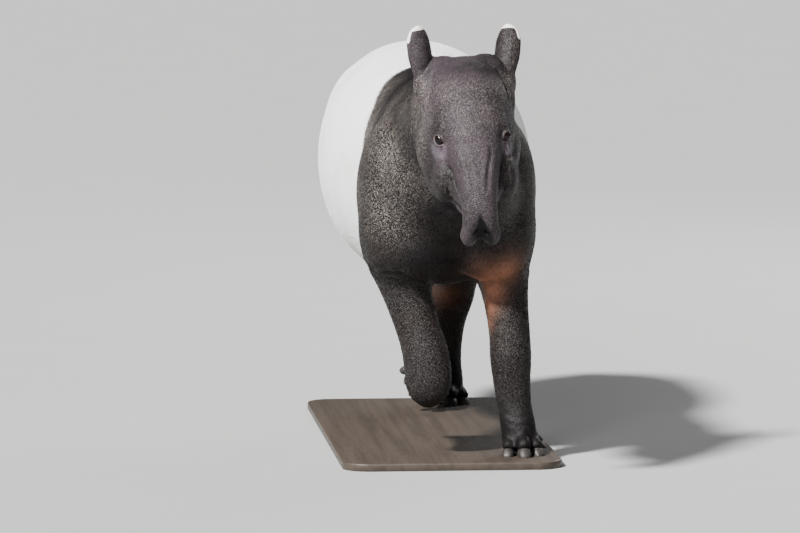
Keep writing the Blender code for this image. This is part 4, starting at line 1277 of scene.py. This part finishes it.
DARK = (0.0034, 0.0026, 0.0030)
DARK_BROWN = (0.0064, 0.0041, 0.0036)
# painted sheen of sunlight on the head's short hair
HEAD_SHEEN_GREY = (0.0235, 0.0172, 0.0215)
# painted glints of light on the hair, and the forehead's pale scratches
GLINT_AND_SCRATCH_GREY = (0.360, 0.315, 0.280)
WHITE = (0.80, 0.79, 0.785)
SOILED = (0.64, 0.60, 0.56)
# bare warm skin, and the colour of a painted pool of sunlight on the hind leg
WARM_SKIN_AND_SUNLIT_PATCH = (0.340, 0.145, 0.085)
# pink lid skin, with a painted wet highlight on the lower margin
LID_PINK_AND_SHINE = (0.110, 0.078, 0.084)
LILAC = (0.100, 0.080, 0.098)
RIM_WHITE = (0.78, 0.75, 0.72)
# near-black painted shade of the nostrils, the mouth's line, the snout's hollow and deep folds
HOLLOW_SHADE_BLACK = (0.0012, 0.0009, 0.0009)
DIRT = (0.20, 0.17, 0.16)
PUPIL = (0.002, 0.002, 0.002)
IRIS = ((0.0040, 0.0022, 0.0020), (0.0110, 0.0058, 0.0046))
EYE_WHITE = (0.030, 0.022, 0.022)
HORN = ((0.012, 0.010, 0.009), (0.034, 0.029, 0.025))
HORN_WORN = (0.010, 0.009, 0.008)
BOARD = ((0.036, 0.027, 0.020), (0.054, 0.040, 0.030))
BOARD_PORES = (0.034, 0.025, 0.019)
FLOOR = ((0.33, 0.33, 0.325), (0.35, 0.35, 0.345))


def coat_colour(graph, hair=False):
    """The colour of the hide, and of the hair on it, painted light included: the same markings for both."""
    fine = graph.noise(520, 1, (1, 0.7, 0.9))
    patch = graph.noise(9, 3)
    speck = graph.noise(300, 1, (1, 0.5, 1))
    dark = graph.mix(graph.ramp(patch, 0.40, 0.68), DARK, DARK_BROWN)
    # the head's painted sheen, kept off the lower cheeks and its left side as painted shade
    sheen = graph.sums("MULTIPLY", graph.value("head"), graph.ramp(patch, 0.25, 0.6))
    dark = graph.mix(sheen, dark, HEAD_SHEEN_GREY)
    specks = graph.ramp(fine, 0.54, 0.62)
    if hair:
        specks = graph.sums("MULTIPLY", specks, graph.ramp(graph.value("tint"), 0.25, 0.60, 0.3, 1.0))
    # painted glints of light on the hair, and pale scratches
    grey = graph.sums("MULTIPLY", graph.value("pale"), specks)
    dark = graph.mix(grey, dark, GLINT_AND_SCRATCH_GREY)
    # bare warm skin, and a painted pool of sunlight on the hind leg
    dark = graph.mix(graph.sums("MULTIPLY", graph.value("warm"), 0.85), dark, WARM_SKIN_AND_SUNLIT_PATCH)
    bare = graph.sums("MULTIPLY", graph.value("lilac"), graph.ramp(fine, 0.30, 0.70, 0.45, 0.95))
    dark = graph.mix(bare, dark, LILAC)
    white = graph.mix(graph.ramp(patch, 0.45, 0.80, 0.0, 0.6), WHITE, SOILED)
    dots = graph.ramp(speck, 0.70, 0.76)
    white = graph.mix(graph.sums("MULTIPLY", dots, 0.5), white, DIRT)
    edge = graph.sums("MULTIPLY_ADD", graph.sums("SUBTRACT", fine, 0.5), 0.060, graph.value("saddle"))
    colour = graph.mix(graph.ramp(edge, -0.003, 0.004), dark, white)
    rim = graph.sums("ADD", graph.value("rim"), graph.sums("MULTIPLY", fine, 0.3))
    return graph.mix(graph.ramp(rim, 0.45, 0.75), colour, RIM_WHITE)


def skin_material():
    graph = Graph("hide", Specular_IOR_Level=0.16)
    colour = coat_colour(graph)
    # pink lid margins, the lower ones also a painted wet highlight
    colour = graph.mix(graph.value("lid"), colour, LID_PINK_AND_SHINE)
    # the nostrils, the mouth's line, the snout's hollow and deep folds painted near black as shade
    colour = graph.mix(graph.value("wet"), colour, HOLLOW_SHADE_BLACK)
    hair = graph.noise(900, 2, (1, 0.22, 0.7))
    creased = graph.edges(150)
    lumps = graph.noise(60, 3)
    rough = graph.ramp(hair, 0.3, 0.7, 0.40, 0.60)
    creases = graph.ramp(creased, 0.0, 0.12)
    return graph.finish(colour, rough, [(lumps, 0.0010), (creases, 0.0003), (hair, 0.0006)])


def hair_material():
    graph = Graph("hair", Specular_IOR_Level=0.06)
    return graph.finish(coat_colour(graph, hair=True), 0.42)


def eye_material():
    graph = Graph("eye", Roughness=0.05, Specular_IOR_Level=0.28, IOR=1.45)
    share = graph.value("iris")
    streaks = graph.noise(900, 2)
    iris = graph.mix(graph.ramp(streaks, 0.35, 0.65), *IRIS)
    white = graph.mix(graph.ramp(share, 0.95, 1.10), iris, EYE_WHITE)
    return graph.finish(graph.mix(graph.ramp(share, 0.40, 0.46), PUPIL, white))


def hoof_material():
    graph = Graph("hoof_horn", Specular_IOR_Level=0.4)
    streaks = graph.noise(420, 3, (1, 1, 0.12))
    patch = graph.noise(50, 3)
    colour = graph.mix(graph.ramp(streaks, 0.35, 0.7), *HORN)
    colour = graph.mix(graph.ramp(patch, 0.5, 0.75, 0, 0.6), colour, HORN_WORN)
    return graph.finish(colour, graph.ramp(patch, 0.3, 0.7, 0.38, 0.62), [(streaks, 0.0006)])


def board_material():
    graph = Graph("board", Specular_IOR_Level=0.35)
    grain = graph.noise(40, 4, (1, 0.045, 1))
    fine = graph.noise(600, 2, (1, 0.03, 1))
    colour = graph.mix(graph.ramp(grain, 0.35, 0.65), *BOARD)
    colour = graph.mix(graph.ramp(fine, 0.45, 0.7, 0, 0.5), colour, BOARD_PORES)
    return graph.finish(colour, graph.ramp(fine, 0.3, 0.7, 0.38, 0.55), [(grain, 0.0006), (fine, 0.0002)])


def floor_material():
    graph = Graph("floor", Roughness=0.85)
    return graph.finish(graph.mix(graph.noise(3, 2), *FLOOR))


# Pieces other than the skin

# The iris as an angle from the eye's middle and its width's share of that, and the cornea over it
IRIS_REACH, IRIS_WIDE = math.radians(50), 0.72
CORNEA_REACH, CORNEA_RISE = math.radians(38), 0.0007


def eye(name, side):
    """An eyeball with a slightly raised cornea; iris is a point's share of the way out to its edge."""
    middle, look, across, rise = eye_axes(side)
    shape = bmesh.new()
    bmesh.ops.create_uvsphere(shape, u_segments=64, v_segments=48, radius=1)
    turn = Matrix([Vector(across), Vector(rise), Vector(look)]).transposed()
    if turn.determinant() < 0:
        turn = Matrix([-Vector(across), Vector(rise), Vector(look)]).transposed()
    shares = []
    for vert in shape.verts:
        angle = math.acos(max(-1, min(1, vert.co.z)))
        wide = math.hypot(vert.co.x * IRIS_WIDE, vert.co.y)
        shares.append(wide / math.sin(IRIS_REACH) if angle < math.pi / 2 else 2.0)
        bulge = CORNEA_RISE * math.exp(-((angle / CORNEA_REACH) ** 4))
        vert.co = turn @ (vert.co * (EYE_RADIUS - 0.0001 + bulge)) + Vector(middle)
        vert.co = head_frame() @ vert.co
    made = object_from_bmesh(name, shape)
    mark(made.data, {"iris": shares})
    return made


def hooves(name, foot):
    """The hooves of one foot, finer than the solids, each with a rounded wall and a worn edge."""
    pieces = []
    for number, toe in enumerate(foot.toes):
        place = toe_place(foot, toe)
        shape = bmesh.new()
        rings = []
        for share, wide, high in eased(HOOF_PROFILE, 5):
            y = HOOF_BACK - share * HOOF_LENGTH
            ring = []
            for k in range(HOOF_SIDES):
                angle = math.pi * k / (HOOF_SIDES - 1)
                worn = 1 + 0.012 * math.sin(9 * share * math.pi)
                x = math.cos(angle) * HOOF_WIDTH * wide * worn
                z = math.sin(angle) ** 0.8 * HOOF_HEIGHT * high * worn
                ring.append(shape.verts.new(place @ Vector((x, y, max(z, 0.0)))))
            rings.append(ring)
        close_rings(shape, rings)
        pieces.append(object_from_bmesh(f"{name}_{number}", shape))
    return join(name, pieces)


BOARD_CORNER = 0.07
BOARD_RIM = 0.005
BOARD_WEAR = 0.001


def board():
    """The base with finer corners and a rounded rim, the size of its solid."""
    low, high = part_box("stand_base")
    # height and inset of each ring: the worn lower edge, then the rounded rim
    levels = [(0, BOARD_WEAR), (BOARD_WEAR, 0)]
    for i in range(7):
        angle = math.pi / 2 * i / 6
        levels.append((high.z - BOARD_RIM * (1 - math.sin(angle)), BOARD_RIM * (1 - math.cos(angle))))
    shape = bmesh.new()
    rings = []
    for z, inset in levels:
        ring = []
        for k in range(4):
            x = (high.x - BOARD_CORNER) if k in (0, 3) else (low.x + BOARD_CORNER)
            y = (high.y - BOARD_CORNER) if k in (0, 1) else (low.y + BOARD_CORNER)
            for i in range(17):
                angle = math.pi / 2 * (k + i / 16)
                reach = BOARD_CORNER - inset
                across, ahead = math.cos(angle) * reach, math.sin(angle) * reach
                ring.append(shape.verts.new((x + across, y + ahead, z)))
        rings.append(ring)
    close_rings(shape, rings)
    return object_from_bmesh("base_board", shape)


# The coat

COAT_SEED = 7
# Tufts per square metre on the body, and how many more on the head
BODY_DENSITY, HEAD_MORE = 24000, 18000
# Length of the hair on the trunk, less on the head, less again on the snout, and less on the feet
HAIR_LENGTH, HEAD_SHORTER, SNOUT_SHORTER, FEET_SHORTER = 0.0078, 0.0030, 0.0020, 0.0020
# How steeply a tuft stands, its width at no length and more of it with length, and its swing
TUFT_STAND, TUFT_WIDTH, TUFT_WIDER, TUFT_SWING = 0.12, 0.0005, 0.08, 0.22
TUFTS_A_PIECE = 19000
UV_COLUMNS = 5
# Which stretches of the body each group of coat pieces covers, as places in the list of bones
COAT_GROUPS = {
    "face": [0, 1], "ears": [18, 19], "neck": [2], "trunk": [3], "tail": [4],
    "forelegs": [*range(5, 11), 17], "hindlegs": range(11, 17),
}


def bones():
    """Start, end and thickness of each stretch of the body, in the direction that its hair lies."""
    def head(y, z):
        return tuple(from_head([(0, y, z)])[0])

    found = [
        (head(-0.455, -0.060), head(-0.340, 0.020), 0.050),
        (head(-0.340, 0.020), head(-0.010, 0.020), 0.120),
        (head(-0.010, 0.020), (0, 0.0, 0.760), 0.170),
        ((0, 0.0, 0.740), (0, 1.180, 0.760), 0.270),
        ((0, 1.262, 0.850), (0, 1.328, 0.700), 0.035),
    ]
    for rows in LEGS.values():
        knees = [rows[1], rows[len(rows) // 2 - 1], rows[-4], rows[-1]]
        for (x, y, z, wide, *_), (x2, y2, z2, *_) in zip(knees, knees[1:]):
            found.append(((x, y, z), (x2, y2, z2), wide * 1.1))
    found.append((FOLDED_SHANK[1][:3], FOLDED_SHANK[-1][:3], 0.050))
    for side in SIDES.values():
        root = np.array(ear_place(side) @ Vector((0, 0, 0)))
        tip = np.array(ear_place(side) @ Vector((0, 0, EAR_LENGTH)))
        found.append((tuple(root), tuple(tip), 0.030))
    return found


def along_bones(points):
    """The direction of the coat's lie at each point, and its place on an unwrap, one tile a bone."""
    bone_list = bones()
    total = np.zeros_like(points)
    closest = np.full(len(points), 1e9)
    tile = np.zeros(len(points), int)
    unwrap = np.zeros((len(points), 2))
    for number, (start, end, thick) in enumerate(bone_list):
        start, span = np.array(start), np.array(end) - np.array(start)
        t = np.clip((points - start) @ span / (span @ span), 0, 1)
        offset = points - start - t[:, None] * span
        share = np.linalg.norm(offset, axis=1) / thick
        total += (span / np.linalg.norm(span)) * (1 / (share**6 + 0.01))[:, None]
        nearer = share < closest
        closest[nearer] = share[nearer]
        tile[nearer] = number
        one = np.cross(span, (1, 0, 0) if abs(span[0]) < abs(span[1]) + abs(span[2]) else (0, 0, 1))
        one /= np.linalg.norm(one)
        two = np.cross(span / np.linalg.norm(span), one)
        turn = np.arctan2(offset @ two, offset @ one) / (2 * math.pi) + 0.5
        unwrap[nearer] = np.c_[turn, t][nearer]
    corner = np.c_[tile % UV_COLUMNS, tile // UV_COLUMNS]
    return total, tile, (corner + 0.04 + 0.90 * unwrap) / UV_COLUMNS


# A tuft's corners: three at the root, three at the bend half way, and the tip
TUFT_CORNERS = 7
TUFT_FACES = np.array([
    (0, 2, 1), (0, 1, 4), (0, 4, 3), (1, 2, 5), (1, 5, 4), (2, 0, 3), (2, 3, 5),
    (3, 4, 6), (4, 5, 6), (5, 3, 6),
])
TUFT_SUNK = 0.0010
# The corners' places on the unwrap about the root's
TUFT_UNWRAP = 0.0015 * np.array([(-1, -1), (1, -1), (0, -0.6), (-0.8, 0.2), (0.8, 0.2), (0, 0.3), (0, 1)])


def tufts(name, roots, normals, lie, length, width, stand, marks, rng, uv):
    """A joined mesh of thin closed tufts: three sides, a bend half way, and a point."""
    count = len(roots)
    lie = lie - (lie * normals).sum(1)[:, None] * normals
    lie /= np.maximum(np.linalg.norm(lie, axis=1), 1e-9)[:, None]
    swing = rng.normal(0, TUFT_SWING, count)[:, None]
    side = np.cross(normals, lie)
    lie = lie * np.cos(swing) + side * np.sin(swing)
    side = np.cross(normals, lie)
    stand = stand * rng.uniform(0.6, 1.4, count)
    length = length * rng.uniform(0.7, 1.25, count)
    width = width * rng.uniform(0.75, 1.25, count)
    up = np.sin(stand)[:, None]
    ahead = np.cos(stand)[:, None]
    middle = roots + length[:, None] * (0.55 * lie * ahead + 0.62 * up * normals)
    tip = roots + length[:, None] * (lie * ahead + 0.80 * up * normals)
    half = width[:, None] / 2
    sunk = roots - normals * TUFT_SUNK
    points = np.stack([
        sunk - side * half, sunk + side * half, roots + normals * half * 0.6 - lie * half * 0.3,
        middle - side * half * 0.8, middle + side * half * 0.8, middle + normals * half * 0.5,
        tip,
    ], axis=1)
    every = (TUFT_FACES[None] + TUFT_CORNERS * np.arange(count)[:, None, None]).reshape(-1, 3)
    mesh = bpy.data.meshes.new(name)
    mesh.from_pydata(points.reshape(-1, 3).tolist(), [], every.tolist())
    mark(mesh, {key: np.repeat(value, TUFT_CORNERS) for key, value in marks.items()})
    layer = mesh.uv_layers.new(name="OFBake")
    corners = (uv[:, None] + TUFT_UNWRAP[None]).reshape(-1, 2)
    layer.data.foreach_set("uv", corners[every.ravel()].astype(np.float32).ravel())
    made = object_from(name, mesh)
    made.data.shade_smooth()
    return made


def sample(mesh, density, rng):
    """Random places on a triangulated surface, as many per square metre as density says."""
    mesh.calc_loop_triangles()
    triangles = np.empty(len(mesh.loop_triangles) * 3, dtype=np.int64)
    mesh.loop_triangles.foreach_get("vertices", triangles)
    triangles = triangles.reshape(-1, 3)
    points, normals = points_of(mesh), normals_of(mesh)
    corners = points[triangles]
    one, two = corners[:, 1] - corners[:, 0], corners[:, 2] - corners[:, 0]
    area = np.linalg.norm(np.cross(one, two), axis=1) / 2
    count = rng.poisson(area * density(corners.mean(1)))
    chosen = np.repeat(np.arange(len(triangles)), count)
    a, b = rng.random((2, len(chosen)))
    flip = a + b > 1
    a[flip], b[flip] = 1 - a[flip], 1 - b[flip]
    weights = np.stack([1 - a - b, a, b], axis=1)[:, :, None]
    places = (corners[chosen] * weights).sum(1)
    facing = (normals[triangles[chosen]] * weights).sum(1)
    facing /= np.maximum(np.linalg.norm(facing, axis=1), 1e-9)[:, None]
    return places, facing


def coat_density(points):
    """Tufts per square metre: fewer on the snout, none on lids, nostrils, the mouth's line and soles."""
    local = to_head(points)
    head = headness(points)
    density = BODY_DENSITY + HEAD_MORE * head
    snout = head * ramp(-local[:, 1], 0.33, 0.42)
    density = density * (1 - 0.5 * snout)
    for side in SIDES.values():
        density = density * ramp(eye_reach(local, side)[0], 1.3, 1.7)
        mouth = np.linalg.norm(local - np.array(mirrored(NOSTRIL_MOUTH, side)), axis=1)
        density = density * ramp(mouth, 0.014, 0.022)
    # and none on the near-black painted shade
    return density * ramp(points[:, 2], 0.010, 0.025) * (1 - hollow_shade_share(local))


def coat_length(points):
    """Length of the hair: longest on the trunk, short on the face and feet."""
    local = to_head(points)
    head = headness(points)
    length = HAIR_LENGTH - HEAD_SHORTER * head - SNOUT_SHORTER * head * ramp(-local[:, 1], 0.2, 0.36)
    return length - FEET_SHORTER * (1 - ramp(points[:, 2], 0.05, 0.35)) * (1 - head)


def make_coat(skin, material):
    """The coat over the whole skin, in pieces by stretches of the body."""
    rng = np.random.default_rng(COAT_SEED)
    roots, normals = sample(skin.data, coat_density, rng)
    lie, tile, uv = along_bones(roots)
    marks = markings(roots)
    marks["tint"] = rng.random(len(roots))
    made = []
    for name, tiles in COAT_GROUPS.items():
        chosen = np.nonzero(np.isin(tile, list(tiles)))[0]
        for number, some in enumerate(np.array_split(chosen, 1 + len(chosen) // TUFTS_A_PIECE)):
            if not len(some):
                continue
            length = coat_length(roots[some])
            piece = tufts(
                f"coat_{name}_{number + 1}", roots[some], normals[some], lie[some], length,
                TUFT_WIDTH + TUFT_WIDER * length, TUFT_STAND,
                {key: value[some] for key, value in marks.items()}, rng, uv[some],
            )
            piece.data.materials.append(material)
            made.append(piece)
    return made


# The scene about it

FLOOR_SIZE, FLOOR_DROP = 90, 0.0005
WORLD_COLOUR, WORLD_LIGHT = (0.86, 0.88, 0.92, 1), 0.12
LIGHTS_AIM = (0, 0, 0.6)
# Name, kind, place, size in metres or as an angle, and power
LIGHTS = [
    ("key", "SUN", (-3.8, -3.9, 5.8), math.radians(6), 13.0),
    ("front", "AREA", (-2.8, -8.6, 3.9), 2.2, 380),
    ("back", "AREA", (3.5, 5.0, 4.0), 3.0, 200),
]
# The camera: turned to the animal's right, raised, and its distance in metres; lens and sensor in mm
CAMERA_TURN, CAMERA_RISE, CAMERA_AWAY = math.radians(-5), math.radians(5.5), 14.0
CAMERA_LENS, CAMERA_SENSOR, CAMERA_REACH = 243, 36, 100
CAMERA_AIM = (-0.125, 0.0, 0.49)


def studio():
    """A pale floor, and soft lights: the key from the viewer's upper left, as the sun in the photo."""
    shape = bmesh.new()
    bmesh.ops.create_grid(shape, x_segments=1, y_segments=1, size=FLOOR_SIZE)
    floor = object_from_bmesh("floor", shape)
    floor.location.z = -FLOOR_DROP
    floor.data.materials.append(floor_material())
    world = bpy.context.scene.world or bpy.data.worlds.new("world")
    bpy.context.scene.world = world
    world.use_nodes = True
    sky = world.node_tree.nodes["Background"]
    sky.inputs["Color"].default_value = WORLD_COLOUR
    sky.inputs["Strength"].default_value = WORLD_LIGHT
    for name, kind, at, size, power in LIGHTS:
        lamp = bpy.data.lights.new(name, kind)
        lamp.energy = power
        if kind == "SUN":
            lamp.angle = size
        else:
            lamp.size = size
        made = bpy.data.objects.new(name, lamp)
        bpy.context.scene.collection.objects.link(made)
        made.location = at
        aim = Vector(LIGHTS_AIM) - Vector(at)
        made.rotation_mode = "QUATERNION"
        made.rotation_quaternion = aim.to_track_quat("-Z", "Y")


def camera():
    """The photograph's view, from far off with a long lens."""
    sight = bpy.data.cameras.new("camera")
    sight.lens, sight.sensor_width, sight.clip_end = CAMERA_LENS, CAMERA_SENSOR, CAMERA_REACH
    made = bpy.data.objects.new("camera", sight)
    bpy.context.scene.collection.objects.link(made)
    back = Vector((
        math.sin(CAMERA_TURN) * math.cos(CAMERA_RISE),
        -math.cos(CAMERA_TURN) * math.cos(CAMERA_RISE),
        math.sin(CAMERA_RISE),
    ))
    made.location = Vector(CAMERA_AIM) + SHIFT + back * CAMERA_AWAY
    made.rotation_mode = "QUATERNION"
    made.rotation_quaternion = (-back).to_track_quat("-Z", "Y")
    bpy.context.scene.camera = made


FLESH = [
    "head", "lower_jaw", "proboscis", "neck", "chest", "barrel", "hindquarters", "tail",
    *(f"{part}_{side}" for side in SIDES for part in (
        "upper_arm", "forearm", "forefoot", "thigh", "shank", "hindfoot", "ear")),
]


def place(piece, slot, *nodes):
    """Move a finished piece from the raw frame to the model's, and parent it to the root; the named solids
    are hidden.
    """
    piece.data.transform(Matrix.Translation(SHIFT))
    settled(piece, slot, *nodes)


def settled(piece, slot, *nodes):
    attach(piece, "root")
    if nodes:
        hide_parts(*nodes)


def main():
    skin = make_skin()
    mark(skin.data, markings(points_of(skin.data)))
    skin.data.shade_smooth()
    skin.data.materials.clear()
    skin.data.materials.append(skin_material())
    for piece in make_coat(skin, hair_material()):
        place(piece, "dark_coat")
    place(skin, "dark_coat", *FLESH)
    eye_finish, horn = eye_material(), hoof_material()
    for name, side in SIDES.items():
        made = eye("eyeball_" + name, side)
        made.data.shade_smooth()
        made.data.materials.append(eye_finish)
        place(made, "eye", "eye_" + name)
    for name, foot in FEET.items():
        made = hooves("hooves_" + name, foot)
        made.data.shade_smooth()
        made.data.set_sharp_from_angle(angle=math.radians(50))
        made.data.materials.append(horn)
        place(made, "hoof", *(f"hoof_{name}_{n + 1}" for n in range(len(foot.toes))))
    slab = board()
    slab.data.shade_smooth()
    slab.data.set_sharp_from_angle(angle=math.radians(50))
    slab.data.materials.append(board_material())
    settled(slab, "stand", "stand_base")
    camera()
    studio()


main()
